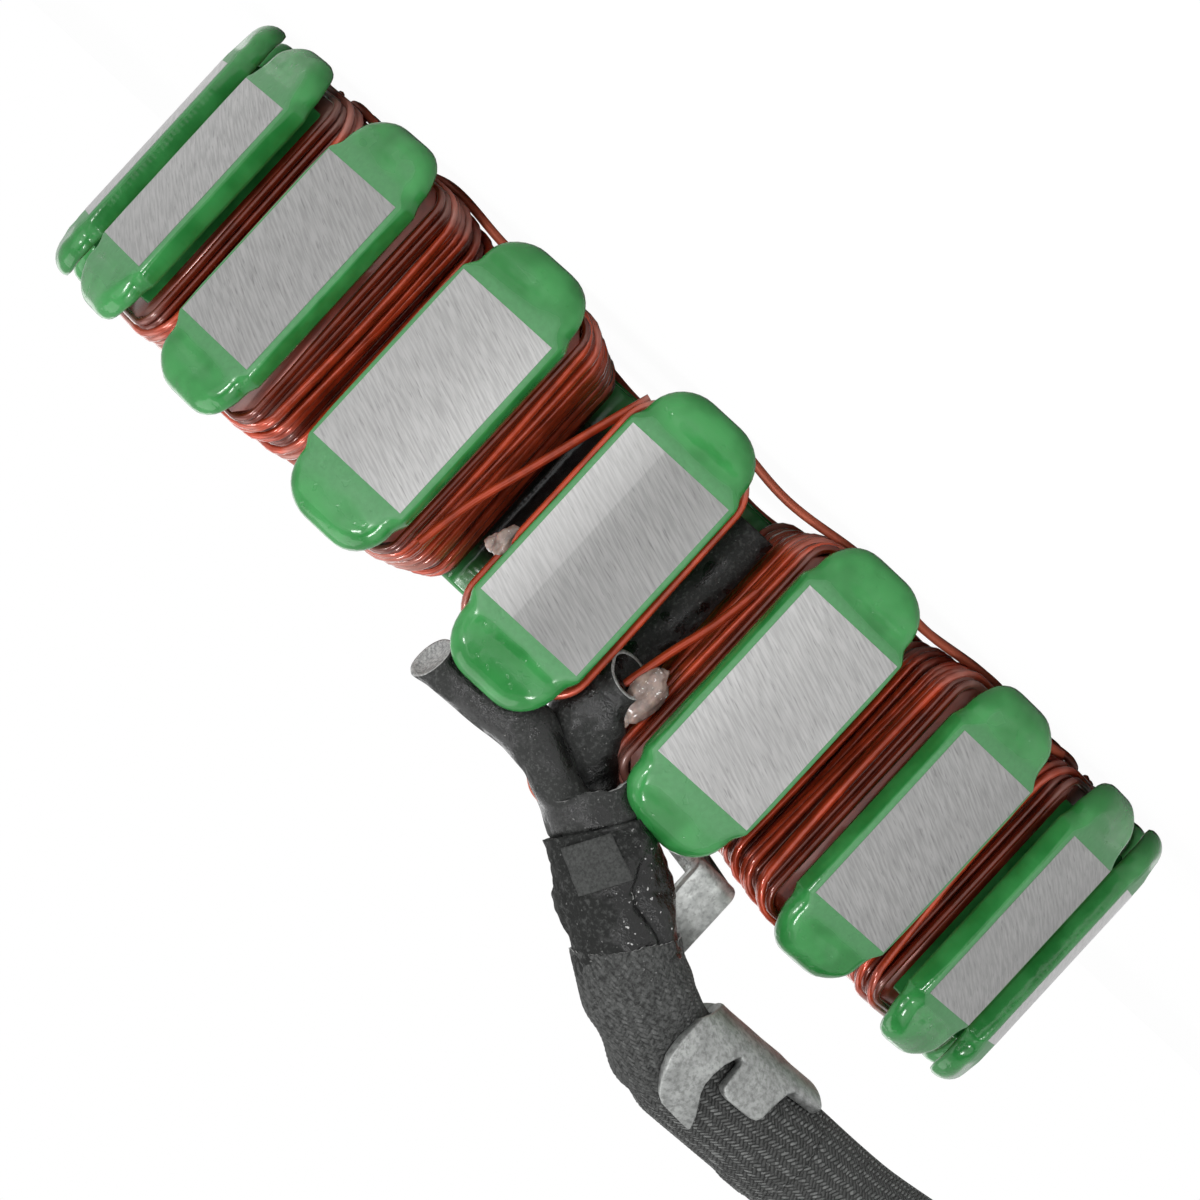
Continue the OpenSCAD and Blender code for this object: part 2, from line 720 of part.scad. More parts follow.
// Three-way connector: an open shroud round three blades, with a latch ridge on top
module connector_housing() {
    color("black") translate([housing_x, housing_y, 0]) {
        difference() {
            translate([0, -housing_w / 2, 0]) cube([housing_l, housing_w, housing_h]);
            translate([housing_back, -housing_w / 2 + housing_wall, housing_wall])
                cube([housing_l, housing_w - 2 * housing_wall, housing_h - 2 * housing_wall]);
            for (i = [-1 : 1]) translate([-1, i * blade_step - blade_w / 2, housing_h / 2 - blade_t / 2])
                cube([housing_back + 2, blade_w, blade_t]);
        }
        translate([housing_back, 3, housing_h]) rotate([90, 0, 0])
            linear_extrude(6) polygon([[0, 0], [8, 0], [8, 0.4], [1, 1.6], [0, 1.6]]);
    }
}

module connector_blades() {
    color("goldenrod") for (i = [-1 : 1])
        translate([housing_x + fit_gap, housing_y + i * blade_step, housing_h / 2])
            translate([0, -blade_w / 2 + fit_gap / 2, -blade_t / 2 + fit_gap / 2])
                cube([blade_l, blade_w - fit_gap, blade_t - fit_gap]);
}

lamination_stack();
end_plate_lead_side();
end_plate_back();
epoxy_coat();
core_rivets();
for (k = [0 : pole_count - 1])
    coil(k);
phase_a_jumpers();
phase_b_jumpers();
phase_c_jumpers();
crossing_wire();
entry_wire();
splice_sleeve_a();
splice_sleeve_b();
slot_sleeve();
bundle_collar();
taped_bundle();
resin_dabs();
clamp_bracket();
bracket_screw();
braided_sleeve_held();
braided_sleeve_free();
lead_wires();
connector_housing();
connector_blades();
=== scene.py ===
"""Looks of a wound stator: coated pole heads, wound coils, sleeved splices and a clamped braided lead."""

import bisect
import random
from math import asin, cos, degrees, exp, floor, pi, radians, sin

import bmesh
import bpy
from bmesh.types import BMEdge, BMFace, BMVert
from mathutils import Matrix, Vector, noise


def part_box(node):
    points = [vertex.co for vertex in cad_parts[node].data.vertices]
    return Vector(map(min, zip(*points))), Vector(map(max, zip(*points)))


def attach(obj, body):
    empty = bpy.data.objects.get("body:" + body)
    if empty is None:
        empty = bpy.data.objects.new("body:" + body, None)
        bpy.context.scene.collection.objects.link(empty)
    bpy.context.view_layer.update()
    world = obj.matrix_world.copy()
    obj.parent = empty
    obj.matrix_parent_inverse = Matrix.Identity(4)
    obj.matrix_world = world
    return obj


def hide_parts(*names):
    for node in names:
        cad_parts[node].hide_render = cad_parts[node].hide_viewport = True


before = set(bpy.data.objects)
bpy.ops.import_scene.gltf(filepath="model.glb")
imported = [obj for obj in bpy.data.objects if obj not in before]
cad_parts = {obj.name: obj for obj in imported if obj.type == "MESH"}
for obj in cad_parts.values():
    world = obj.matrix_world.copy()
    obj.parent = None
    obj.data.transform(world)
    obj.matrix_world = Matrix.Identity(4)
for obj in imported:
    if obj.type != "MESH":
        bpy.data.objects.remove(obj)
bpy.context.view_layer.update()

bl_info = {
    "name": "Wound stator looks",
    "version": (1, 0, 0),
    "blender": (4, 5, 0),
    "location": "View3D > Sidebar > Stator",
    "description": "Models the finish of a wound stator and its braided lead around the packed solids",
    "category": "Object",
}

MM = 0.001
TO_METRES = Matrix.Scale(MM, 4)
BODY = "root"
POLE_COUNT = 18
PITCH = 360 / POLE_COUNT
# Sizes read from the solids, in millimetres
STACK_LOW, STACK_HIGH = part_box("lamination_stack")
CORE_R = STACK_HIGH.y / MM
MID_Z = (STACK_LOW.z + STACK_HIGH.z) / 2 / MM
STACK_END = (STACK_HIGH.z - STACK_LOW.z) / 2 / MM
TAB_TIP = (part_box("epoxy_coat")[1].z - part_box("epoxy_coat")[0].z) / 2 / MM
COIL_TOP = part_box("coil_02")[1].z / MM
# Ends of the bare end plates and of the coat over them, from the middle plane
PLATE_END = STACK_END + 1.3
COAT_END = STACK_END + 1.8
# The bore and the circle of holes through the core
BORE_R = 21.4
HOLES_R = 27
BOLT_ANGLES = (30, 150, 270)
RIVET_ANGLES = (90, 210, 330)
CLAMP_TURN = -120.5
CLAMP_HOLE_R = 2.15
# A pole's coated neck, and where a coil begins and ends on it
NECK_HALF_W, NECK_HALF_H = 3.45, 10.45
COIL_IN_R, COIL_OUT_R = 33.65, 48.85


def length_property(name, mm, description):
    return bpy.props.FloatProperty(
        name=name, description=description, default=mm * MM, unit="LENGTH", precision=5)


def colour_property(name, rgb, description):
    return bpy.props.FloatVectorProperty(name=name, description=description, subtype="COLOR", default=rgb)


class StatorSizes(bpy.types.PropertyGroup):
    """Sizes of the finish, in metres"""

    head_half_w: length_property(
        "Coated head half width", 5.4, "Half the width of a coated pole head beside the ground face")
    tab_half_w: length_property("Coated tab half width", 4.9, "Half the width of a coated tab")
    tab_corner: length_property("Tab corner", 3.5, "Corner radius of a coated tab seen from outside")
    tab_thick: length_property("Tab thickness", 2.1, "Thickness of a coated tab")
    coat_round: length_property("Coat rounding", 1.15, "Radius of the coat's round edges on a tab")
    wire_d: length_property("Wire diameter", 0.74, "Diameter of the enamelled wire")
    sleeve_d: length_property("Braided sleeve diameter", 9.2, "Outside diameter of the braided lead")
    splice_d: length_property("Splice sleeve diameter", 3.8, "Outside diameter of a varnished splice sleeve")
    strip_t: length_property("Bracket thickness", 1.0, "Thickness of the clamp bracket's strip")


class StatorColours(bpy.types.PropertyGroup):
    """Colours of the finishes"""

    epoxy: colour_property("Epoxy", (0.038, 0.240, 0.060), "Glossy green coat")
    epoxy_deep: colour_property("Deep epoxy", (0.019, 0.165, 0.034), "Thicker, darker green coat")
    epoxy_ground: colour_property("Ground epoxy", (0.058, 0.215, 0.078), "Coat ground matt with the pole faces")
    steel: colour_property("Steel", (0.44, 0.437, 0.433), "Ground pole faces")
    enamel: colour_property("Enamel", (0.46, 0.052, 0.015), "Red-brown wire enamel")
    sleeve: colour_property("Sleeve", (0.015, 0.0155, 0.015), "Black varnished sleeve")
    braid: colour_property("Braid", (0.075, 0.077, 0.075), "Black braided sleeve")
    zinc: colour_property("Zinc", (0.53, 0.545, 0.53), "Dull zinc plating")
    resin: colour_property("Resin", (0.27, 0.195, 0.168), "Clear brownish resin")


def sizes():
    return bpy.context.scene.stator_sizes


def tint(name):
    return tuple(getattr(bpy.context.scene.stator_colours, name))


# Small helpers for places


def polar(r, angle, z):
    return Vector((r * cos(radians(angle)), r * sin(radians(angle)), z))


def circle(r, count=96):
    return [polar(r, 360 * i / count, 0) for i in range(count)]


def straight(start, end, steps):
    return [start.lerp(end, n / steps) for n in range(steps + 1)]


def metres(points):
    return [Vector(p) * MM for p in points]


def pole_angle(k):
    return -90 - k * PITCH


def pole_matrix(k):
    """Takes a pole's own frame, in millimetres with x outwards and z from the middle plane, to the part's metres."""
    turn = Matrix.Rotation(radians(pole_angle(k)), 4, "Z")
    return TO_METRES @ Matrix.Translation((0, 0, MID_Z)) @ turn


def smoothstep(low, high, x):
    t = min(max((x - low) / (high - low), 0), 1)
    return t * t * (3 - 2 * t)


def curve_through(points, steps):
    """Points of a smooth curve through a route, with the ends kept."""
    route = [Vector(p) for p in points]
    last = len(route) - 1
    found = []
    for n in range(steps + 1):
        t = n * last / steps
        i = min(int(t), last - 1)
        f = t - i
        a, b, c, d = route[max(i - 1, 0)], route[i], route[i + 1], route[min(i + 2, last)]
        found.append(
            b + f * (c - a) / 2 + f * f * (2 * a - 5 * b + 4 * c - d) / 2
            + f * f * f * (3 * b - a - 3 * c + d) / 2)
    return found


class Path:
    """A polyline with lengths and steady side directions, for rolling a sheet round it."""

    def __init__(self, points):
        self.points = [Vector(p) for p in points]
        self.at = [0.0]
        for a, b in zip(self.points, self.points[1:]):
            self.at.append(self.at[-1] + (b - a).length)
        self.length = self.at[-1]
        last = len(self.points) - 1
        self.along = [
            (self.points[min(i + 1, last)] - self.points[max(i - 1, 0)]).normalized() for i in range(last + 1)]
        side = Vector((0, -1, 0))
        self.normal = [(side - side.dot(self.along[0]) * self.along[0]).normalized()]
        for i in range(1, last + 1):
            turn = self.along[i - 1].rotation_difference(self.along[i])
            self.normal.append((turn @ self.normal[-1]).normalized())

    def frame(self, v):
        """Place, direction and side at a share v of the length."""
        s = min(max(v, 0), 1) * self.length
        i = min(max(bisect.bisect_left(self.at, s) - 1, 0), len(self.at) - 2)
        span = max(self.at[i + 1] - self.at[i], 1e-9)
        f = (s - self.at[i]) / span
        place = self.points[i].lerp(self.points[i + 1], f)
        along = self.along[i].lerp(self.along[i + 1], f).normalized()
        normal = self.normal[i].lerp(self.normal[i + 1], f)
        normal = (normal - normal.dot(along) * along).normalized()
        return place, along, normal

    def around(self, u, v):
        """Place, direction and outward side at a turn u and a share v of the length."""
        place, along, normal = self.frame(v)
        turn = 2 * pi * u
        return place, along, cos(turn) * normal + sin(turn) * along.cross(normal)


# Small helpers for pieces


def finish_piece(name, bm, materials, replaced=(), smooth=True):
    """Turns a bmesh into a piece that rides on the body and stands for its solids."""
    mesh = bpy.data.meshes.new(name)
    bm.to_mesh(mesh)
    bm.free()
    for polygon in mesh.polygons:
        polygon.use_smooth = smooth
    for material in materials:
        mesh.materials.append(material)
    piece = bpy.data.objects.new(name, mesh)
    bpy.context.scene.collection.objects.link(piece)
    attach(piece, BODY)
    if replaced:
        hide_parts(*replaced)
    return piece


def add_wires(bm, runs, diameter, sides=2):
    """Adds round wires along lists of points, in metres, to a bmesh."""
    curve = bpy.data.curves.new("wire_run", "CURVE")
    curve.dimensions = "3D"
    curve.bevel_depth = diameter / 2
    curve.bevel_resolution = sides
    curve.use_fill_caps = True
    curve.twist_mode = "MINIMUM"
    for points, closed in runs:
        spline = curve.splines.new("POLY")
        spline.points.add(len(points) - 1)
        spline.use_cyclic_u = closed
        for point, place in zip(spline.points, points):
            point.co = (*place, 1)
    carrier = bpy.data.objects.new("wire_run", curve)
    bpy.context.scene.collection.objects.link(carrier)
    bpy.context.view_layer.update()
    mesh = bpy.data.meshes.new_from_object(carrier.evaluated_get(bpy.context.evaluated_depsgraph_get()))
    bm.from_mesh(mesh)
    bpy.data.objects.remove(carrier)
    bpy.data.curves.remove(curve)
    bpy.data.meshes.remove(mesh)


def of_kind(geom, kind):
    """What is of one kind in a bmesh operator's result."""
    return [g for g in geom if isinstance(g, kind)]


def edges_of(verts):
    return list({e for v in verts for e in v.link_edges})


def faces_of(verts):
    return list({f for v in verts for f in v.link_faces})


def verts_past(bm, before):
    return [v for v in bm.verts if v not in before]


def closed_edges(bm, verts):
    return [bm.edges.new((a, b)) for a, b in zip(verts, verts[1:] + verts[:1])]


def cut_through(bm, geom, normal, value):
    """Cuts by a plane at a distance from the origin and returns the vertices on it."""
    cut = bmesh.ops.bisect_plane(bm, geom=geom, dist=1e-5, plane_co=value * Vector(normal), plane_no=normal)
    return of_kind(cut["geom_cut"], BMVert)


def face_out(bm, faces):
    bmesh.ops.recalc_face_normals(bm, faces=faces)


def soften(bm, edges, offset, segments):
    """Rounds edges and returns the new faces."""
    return bmesh.ops.bevel(
        bm, geom=edges, offset=offset, segments=segments, profile=0.5, affect="EDGES", material=-1)["faces"]


def add_prism(bm, outline, way):
    """Adds an outline extruded by a vector and returns its vertices."""
    verts = [bm.verts.new(p) for p in outline]
    back = of_kind(bmesh.ops.extrude_face_region(bm, geom=[bm.faces.new(verts)])["geom"], BMVert)
    bmesh.ops.translate(bm, vec=way, verts=back)
    return verts + back


def rolled_sheet(bm, path, around, along, radius, slide=None, caps=(True, True)):
    """Rolls a grid round a path. radius and slide take the turn u and the share v of the length."""
    uv_layer = bm.loops.layers.uv.verify()
    made = bmesh.ops.create_grid(bm, x_segments=around, y_segments=along, size=0.5, calc_uvs=False)["verts"]
    for face in faces_of(made):
        for loop in face.loops:
            loop[uv_layer].uv = (loop.vert.co.x + 0.5, loop.vert.co.y + 0.5)
    for vert in made:
        u, v = vert.co.x + 0.5, vert.co.y + 0.5
        place, direction, out = path.around(u, v)
        vert.co = place + radius(u % 1, v) * out
        if slide:
            vert.co += slide(u % 1, v) * direction
    bmesh.ops.remove_doubles(bm, verts=made, dist=1e-7)
    verts = [v for v in made if v.is_valid]
    rims = [e for e in edges_of(verts) if e.is_boundary]
    ends = path.points[0], path.points[-1]
    for near, far, wanted in zip(ends, ends[::-1], caps):
        if wanted:
            rim = [e for e in rims if (e.verts[0].co - near).length < (e.verts[0].co - far).length]
            bmesh.ops.holes_fill(bm, edges=rim, sides=0)
    face_out(bm, faces_of(verts))
    return verts


def add_box(bm, matrix, size, edge):
    """Adds a box with rounded edges; size and edge are in the matrix's own units."""
    verts = bmesh.ops.create_cube(bm, size=1)["verts"]
    bmesh.ops.scale(bm, vec=size, verts=verts)
    rounded = {v for f in soften(bm, edges_of(verts), edge, 2) for v in f.verts}
    bmesh.ops.transform(bm, matrix=matrix, verts=list(rounded | {v for v in verts if v.is_valid}))


def lathe(bm, profile, matrix, steps):
    """Spins a profile of (radius, height) points round its own z axis and places it."""
    before = set(bm.verts)
    verts = [bm.verts.new((r, 0, z)) for r, z in profile]
    edges = [bm.edges.new(pair) for pair in zip(verts, verts[1:])]
    bmesh.ops.spin(
        bm, geom=verts + edges, cent=(0, 0, 0), axis=(0, 0, 1), angle=2 * pi, steps=steps,
        use_merge=True, use_duplicate=False)
    bmesh.ops.remove_doubles(bm, verts=verts_past(bm, before), dist=1e-6)
    whole = verts_past(bm, before)
    face_out(bm, faces_of(whole))
    bmesh.ops.transform(bm, matrix=matrix, verts=whole)


# Material helpers


class Finish:
    """A node material with short calls for the nodes that the finishes share."""

    def __init__(self, name):
        self.material = bpy.data.materials.new(name)
        self.material.use_nodes = True
        self.tree = self.material.node_tree
        self.shader = self.tree.nodes["Principled BSDF"]
        self.object = self.node("TexCoord").outputs["Object"]

    def node(self, kind, **settings):
        made = self.tree.nodes.new("ShaderNode" + kind)
        for key, value in settings.items():
            setattr(made, key, value)
        return made

    def put(self, socket, value):
        if isinstance(value, bpy.types.NodeSocket):
            self.tree.links.new(value, socket)
        else:
            socket.default_value = value

    def feed(self, node, **inputs):
        for key, value in inputs.items():
            self.put(node.inputs[key.replace("_", " ")], value)
        return node

    def set(self, **inputs):
        self.feed(self.shader, **inputs)
        return self

    def math(self, operation, a, b=0.0, clamp=False):
        made = self.node("Math", operation=operation, use_clamp=clamp)
        self.put(made.inputs[0], a)
        self.put(made.inputs[1], b)
        return made.outputs[0]

    def plus(self, a, b):
        return self.math("ADD", a, b)

    def less(self, a, b):
        return self.math("SUBTRACT", a, b)

    def times(self, a, b):
        return self.math("MULTIPLY", a, b)

    def vector(self, x, y, z=0.0):
        made = self.node("CombineXYZ")
        for socket, value in zip(made.inputs, (x, y, z)):
            self.put(socket, value)
        return made.outputs[0]

    def axis(self, name, vector=None):
        made = self.node("SeparateXYZ")
        self.put(made.inputs[0], vector or self.object)
        return made.outputs[name]

    def rise(self):
        """Distance from the core's middle plane."""
        return self.math("ABSOLUTE", self.less(self.axis("Z"), MID_Z * MM))

    def turn(self):
        """Angle round the core's axis."""
        return self.math("ARCTAN2", self.axis("Y"), self.axis("X"))

    def noise(self, scale, detail=2.0, rough=0.5, vector=None):
        made = self.node("TexNoise")
        self.feed(made, Vector=vector or self.object, Scale=scale, Detail=detail, Roughness=rough)
        return made.outputs["Fac"]

    def step(self, value, low, high, to_low=0.0, to_high=1.0):
        made = self.node("MapRange", interpolation_type="SMOOTHSTEP")
        self.feed(made, Value=value, From_Min=low, From_Max=high, To_Min=to_low, To_Max=to_high)
        return made.outputs["Result"]

    def fall(self, value, low, high):
        return self.step(value, low, high, 1.0, 0.0)

    def mix(self, factor, a, b):
        made = self.node("Mix", data_type="RGBA")
        self.put(made.inputs[0], factor)
        for socket, value in ((made.inputs[6], a), (made.inputs[7], b)):
            self.put(socket, (*value, 1) if isinstance(value, tuple) else value)
        return made.outputs[2]

    def mottle(self, pattern, colour, dark, light, low=0.3, high=0.7):
        """A colour that goes from a darker to a lighter shade with a pattern."""
        return self.mix(self.step(pattern, low, high), shade(colour, dark), shade(colour, light))

    def spots(self, tone, colour, pattern, low, high, most):
        """A tone with so much of a colour where a pattern is high."""
        return self.mix(self.step(pattern, low, high, 0.0, most), tone, colour)

    def bump(self, height, strength, distance):
        made = self.feed(self.node("Bump"), Strength=strength, Distance=distance, Height=height)
        return self.set(Normal=made.outputs["Normal"])


def shade(colour, factor):
    return tuple(c * factor for c in colour)


def ground_steel():
    """Ground laminations: an even grey with short fine scratches, a little askew to the way round."""
    f = Finish("ground_steel")
    base = tint("steel")
    arc = f.times(f.turn(), CORE_R * MM)
    askew = f.plus(f.axis("Z"), f.times(arc, 0.34))

    def marks(along, across, shift):
        return f.noise(1.0, vector=f.vector(f.times(arc, along), f.times(askew, across), shift))

    grain, scratch = marks(420, 5200, 0.0), marks(640, 5400, 7.0)
    tone = f.mottle(grain, base, 0.84, 1.12)
    tone = f.spots(tone, shade(base, 0.45), scratch, 0.58, 0.72, 0.5)
    tone = f.spots(tone, shade(base, 0.86), f.noise(160), 0.35, 0.7, 0.3)
    # Painted reflection: a lighter band along one side of the nearly bare pole's face
    side = f.times(f.step(f.axis("X"), 1.5 * MM, 1.75 * MM), f.fall(f.axis("X"), 5.2 * MM, 5.3 * MM))
    side = f.times(side, f.step(f.axis("Y"), -51 * MM, -50 * MM, 0.22, 0.0))
    tone = f.mix(side, tone, shade(base, 1.75))
    f.set(Base_Color=tone, Metallic=0.95, Roughness=f.step(grain, 0.3, 0.7, 0.41, 0.36))
    around = f.node("Tangent", direction_type="RADIAL", axis="Z")
    f.set(Anisotropic=0.9, Anisotropic_Rotation=0.25, Tangent=around.outputs["Tangent"])
    return f.bump(scratch, 0.08, 0.00002).material


def plain_steel(name, colour, rough):
    f = Finish(name)
    cloud = f.noise(900, 3.0, 0.6)
    f.set(Base_Color=f.mottle(cloud, colour, 0.82, 1.12), Metallic=0.9)
    f.set(Roughness=f.step(cloud, 0.3, 0.7, rough - 0.08, rough + 0.08))
    return f.bump(cloud, 0.12, 0.00005).material


def green_epoxy():
    """Glossy green, mottled by its thickness, and ground matt where it is flush with the pole faces."""
    f = Finish("green_epoxy")
    across = f.node("VectorMath", operation="LENGTH")
    f.put(across.inputs[0], f.vector(f.axis("X"), f.axis("Y")))
    radius = across.outputs["Value"]
    cloud = f.noise(300)
    edge = f.plus(radius, f.times(f.less(cloud, 0.5), 0.00014))
    ground = f.step(edge, (CORE_R - 0.27) * MM, (CORE_R - 0.07) * MM)
    gloss = f.mix(f.step(cloud, 0.32, 0.68), tint("epoxy_deep"), tint("epoxy"))
    matt = f.mottle(f.noise(2600, 2.0, 0.6), tint("epoxy_ground"), 0.93, 1.05)
    # The coat is made near black in the slot between the nearly bare pole and the next
    turn = f.turn()
    slot_blackening = f.times(f.fall(radius, 47.0 * MM, 48.5 * MM), f.fall(f.rise(), 6.0 * MM, 9.6 * MM))
    slot_blackening = f.times(slot_blackening, f.step(turn, radians(-91), radians(-88)))
    slot_blackening = f.times(slot_blackening, f.fall(turn, radians(-73), radians(-71)))
    tone = f.mix(slot_blackening, f.mix(ground, gloss, matt), (0.008, 0.0085, 0.008))
    f.set(Base_Color=tone, Roughness=f.step(ground, 0, 1, 0.16, 0.5), Specular_IOR_Level=0.5, IOR=1.5)
    # The laminations show through as fine ribs, and the coat past them has pits
    ribs = f.math("SINE", f.times(f.axis("Z"), 2 * pi / 0.0005))
    inside = f.fall(f.rise(), STACK_END * MM, (STACK_END + 0.2) * MM)
    height = f.plus(f.times(f.noise(520), 2.0), f.times(f.times(ribs, inside), 0.06))
    pits = f.times(f.step(f.noise(1250, 1.0), 0.66, 0.74), f.less(1.0, inside))
    return f.bump(f.less(height, f.times(pits, 0.7)), 0.25, 0.00016).material


def enamelled_wire(name="enamelled_wire", depth=1.0, coat=0.6):
    """Glossy red-brown enamel, clouded by set resin here and there at the coils' ends."""
    f = Finish(name)
    # depth darkens the enamel and its haze; at 0.3 it makes a darker copy that is painted shade on a coil's block and
    # close turns
    base = shade(tint("enamel"), depth)
    cloud = f.noise(330, 3.0, 0.6)
    tone = f.mottle(cloud, base, 0.66, 1.25)
    tone = f.spots(tone, shade(base, 0.3), f.noise(3800, 2.0, 0.6), 0.62, 0.8, 0.2)
    past = f.step(f.rise(), 8.6 * MM, 11.4 * MM)
    haze = f.times(past, f.step(f.noise(150, 3.0, 0.55), 0.42, 0.60, 0.0, 0.7))
    tone = f.mix(haze, tone, shade((0.40, 0.20, 0.165), 0.4 + 0.6 * depth))
    f.set(Base_Color=tone, Metallic=f.step(haze, 0, 1, 0.3, 0.0), Roughness=0.24)
    f.set(Coat_Weight=coat, Coat_Roughness=0.08, Specular_IOR_Level=0.5)
    return f.bump(cloud, 0.06, 0.00006).material


def varnished_sleeve():
    """Black fibre sleeve under varnish: matt threads with pale dust, and wet-looking patches."""
    f = Finish("varnished_sleeve")
    base = tint("sleeve")
    cloud, thread = f.noise(330, 3.0, 0.6), f.noise(3400, 3.0, 0.65)
    dry = f.step(cloud, 0.42, 0.58)
    tone = f.mix(dry, shade(base, 0.35), shade(base, 1.7))
    tone = f.mix(f.times(f.step(thread, 0.48, 0.70, 0.0, 0.7), dry), tone, shade(base, 5.0))
    tone = f.spots(tone, (0.32, 0.32, 0.31), f.noise(4600, 1.0), 0.72, 0.80, 0.55)
    f.set(Base_Color=tone, Roughness=f.step(dry, 0, 1, 0.20, 0.62))
    f.set(Specular_IOR_Level=f.step(dry, 0, 1, 0.5, 0.16))
    return f.bump(f.plus(thread, f.times(cloud, 0.9)), 0.65, 0.00018).material


def matt_fibre(name, dark, light, rough, specular, strength, depth):
    """The pale cut edge of a sleeve, or a loose patch of tape."""
    f = Finish(name)
    grain = f.noise(4200, 3.0, 0.65)
    f.set(Base_Color=f.mix(f.step(grain, 0.3, 0.7), dark, light), Roughness=rough, Specular_IOR_Level=specular)
    return f.bump(grain, strength, depth).material


def black_tape():
    """Wound tape soaked with varnish: dull dusty laps and glossy dark folds with bright flecks painted as glints."""
    f = Finish("black_tape")
    base = tint("sleeve")
    cloud, grain = f.noise(230, 4.0, 0.62), f.noise(2600, 3.0, 0.7)
    # Dull on the outer side, wet with varnish on the side of the coils
    side = f.plus(f.times(f.axis("X"), 0.565), f.times(f.axis("Z"), 0.825))
    side = f.times(f.less(side, 16.9 * MM), 45.0)
    dry = f.step(f.plus(cloud, side), 0.42, 0.56)
    tone = f.mix(dry, shade(base, 0.15), shade(base, 1.15))
    tone = f.mix(f.times(f.step(grain, 0.48, 0.72, 0.0, 0.75), dry), tone, shade(base, 4.6))
    # Painted glints: bright flecks, most on the glossy side
    painted_glint = f.step(f.noise(2900, 1.0), 0.70, 0.76, 0.0, 0.8)
    tone = f.mix(f.math("SUBTRACT", painted_glint, f.times(dry, 0.6), clamp=True), tone, (0.5, 0.5, 0.49))
    f.set(Base_Color=tone, Roughness=f.step(dry, 0, 1, 0.2, 0.7))
    f.set(Specular_IOR_Level=f.step(dry, 0, 1, 0.45, 0.08))
    return f.bump(f.plus(f.times(grain, 0.6), f.times(cloud, 1.6)), 0.8, 0.0003).material


def weave(f, uv, turns, rows):
    """Height of a braid of two crossing strand families on the piece's UV, a little uneven."""
    sway, lag = (f.times(f.less(f.noise(scale), 0.5), 1.3) for scale in (420, 510))
    u = f.plus(f.times(f.axis("X", uv), float(turns)), sway)
    v = f.plus(f.times(f.axis("Y", uv), float(rows)), lag)
    right, left = f.plus(u, v), f.less(u, v)
    cells = [f.math("FLOOR", value) for value in (right, left)]
    lie = f.math("FLOORED_MODULO", f.plus(*cells), 4.0)
    over = f.math("LESS_THAN", lie, 1.5)

    def strand(own, other, lift):
        run = f.math("DIVIDE", f.plus(lift, f.math("FRACT", other)), 2.0)
        hump = f.plus(0.4, f.times(f.math("SINE", f.times(run, pi)), 0.6))
        return f.times(f.math("SINE", f.times(f.math("FRACT", own), pi)), hump)

    up, down = strand(right, left, lie), strand(left, right, f.less(lie, 2.0))
    chance = f.feed(f.node("TexWhiteNoise"), Vector=f.vector(*cells)).outputs["Value"]
    return f.plus(f.times(up, over), f.times(down, f.less(1.0, over))), over, chance


def braided_sleeve(name, turns, rows, bare_from):
    """Black fibre braid, dusty, and matted with varnish up to the given share of its length."""
    f = Finish(name)
    base = tint("braid")
    uv = f.node("UVMap").outputs["UV"]
    height, over, chance = weave(f, uv, turns, rows)
    fuzz, fibre = f.noise(2500, 3.0, 0.7), f.noise(5200, 2.0, 0.6)
    matted = f.step(f.axis("Y", uv), bare_from, bare_from + 0.25, 1.0, 0.3)
    felt = f.times(f.step(f.noise(260, 3.0, 0.6), 0.30, 0.60, 0.55, 0.9), matted)
    bare = f.mix(chance, shade(base, 0.8), shade(base, 2.6))
    # Painted sheen: cells where the one strand family lies on top are lighter than those of the crossing family
    bare = f.mix(over, shade(base, 0.75), bare)
    # Painted shade in the low gaps between the strands
    bare = f.mix(f.step(height, 0.1, 0.75), shade(base, 0.22), bare)
    tone = f.mix(felt, bare, f.mottle(fuzz, base, 0.25, 1.05, 0.32, 0.68))
    tone = f.spots(tone, (0.26, 0.265, 0.26), fibre, 0.62, 0.8, 0.6)
    f.set(Base_Color=tone, Roughness=0.72, Specular_IOR_Level=0.15)
    relief = f.plus(f.times(height, f.less(1.0, felt)), f.times(fuzz, f.plus(felt, 0.2)))
    return f.bump(f.plus(relief, f.times(fibre, 0.3)), 0.85, 0.00018).material


def zinc_plate():
    """Dull zinc plating, blotched, and darker above about 32 mm as painted shade on the straps."""
    f = Finish("zinc_plate")
    base = tint("zinc")
    cloud, fine = f.noise(330, 4.0, 0.65), f.noise(2400, 3.0, 0.65)
    tone = f.mottle(cloud, base, 0.72, 1.55, 0.34, 0.66)
    tone = f.spots(tone, shade(base, 0.42), fine, 0.45, 0.68, 0.6)
    # Painted shade: a mottled darker tone for the straps above about 32 mm
    strap_painted_shade = f.mottle(fine, base, 0.50, 0.27, 0.34, 0.66)
    tone = f.spots(tone, strap_painted_shade, f.axis("Z"), 31 * MM, 33 * MM, 0.72)
    f.set(Base_Color=tone, Metallic=0.75, Roughness=f.step(cloud, 0.3, 0.7, 0.36, 0.56))
    return f.bump(f.plus(cloud, f.times(fine, 0.7)), 0.35, 0.0001).material


def clear_resin():
    f = Finish("clear_resin")
    cloud = f.noise(900, 3.0, 0.6)
    tone = f.mottle(cloud, tint("resin"), 0.6, 1.35)
    tone = f.spots(tone, (0.8, 0.78, 0.76), f.noise(4200, 1.0), 0.68, 0.76, 0.8)
    f.set(Base_Color=tone, Roughness=0.22, Coat_Weight=0.6, Coat_Roughness=0.12)
    f.set(Subsurface_Weight=0.25, Subsurface_Scale=0.0008)
    return f.bump(cloud, 0.35, 0.0002).material


def moulded_plastic(name, colour):
    f = Finish(name)
    grain = f.noise(3200, 2.0, 0.6)
    f.set(Base_Color=f.mottle(grain, colour, 0.85, 1.2), Roughness=f.step(grain, 0.3, 0.7, 0.42, 0.55))
    return f.bump(grain, 0.2, 0.00006).material


# The coated core


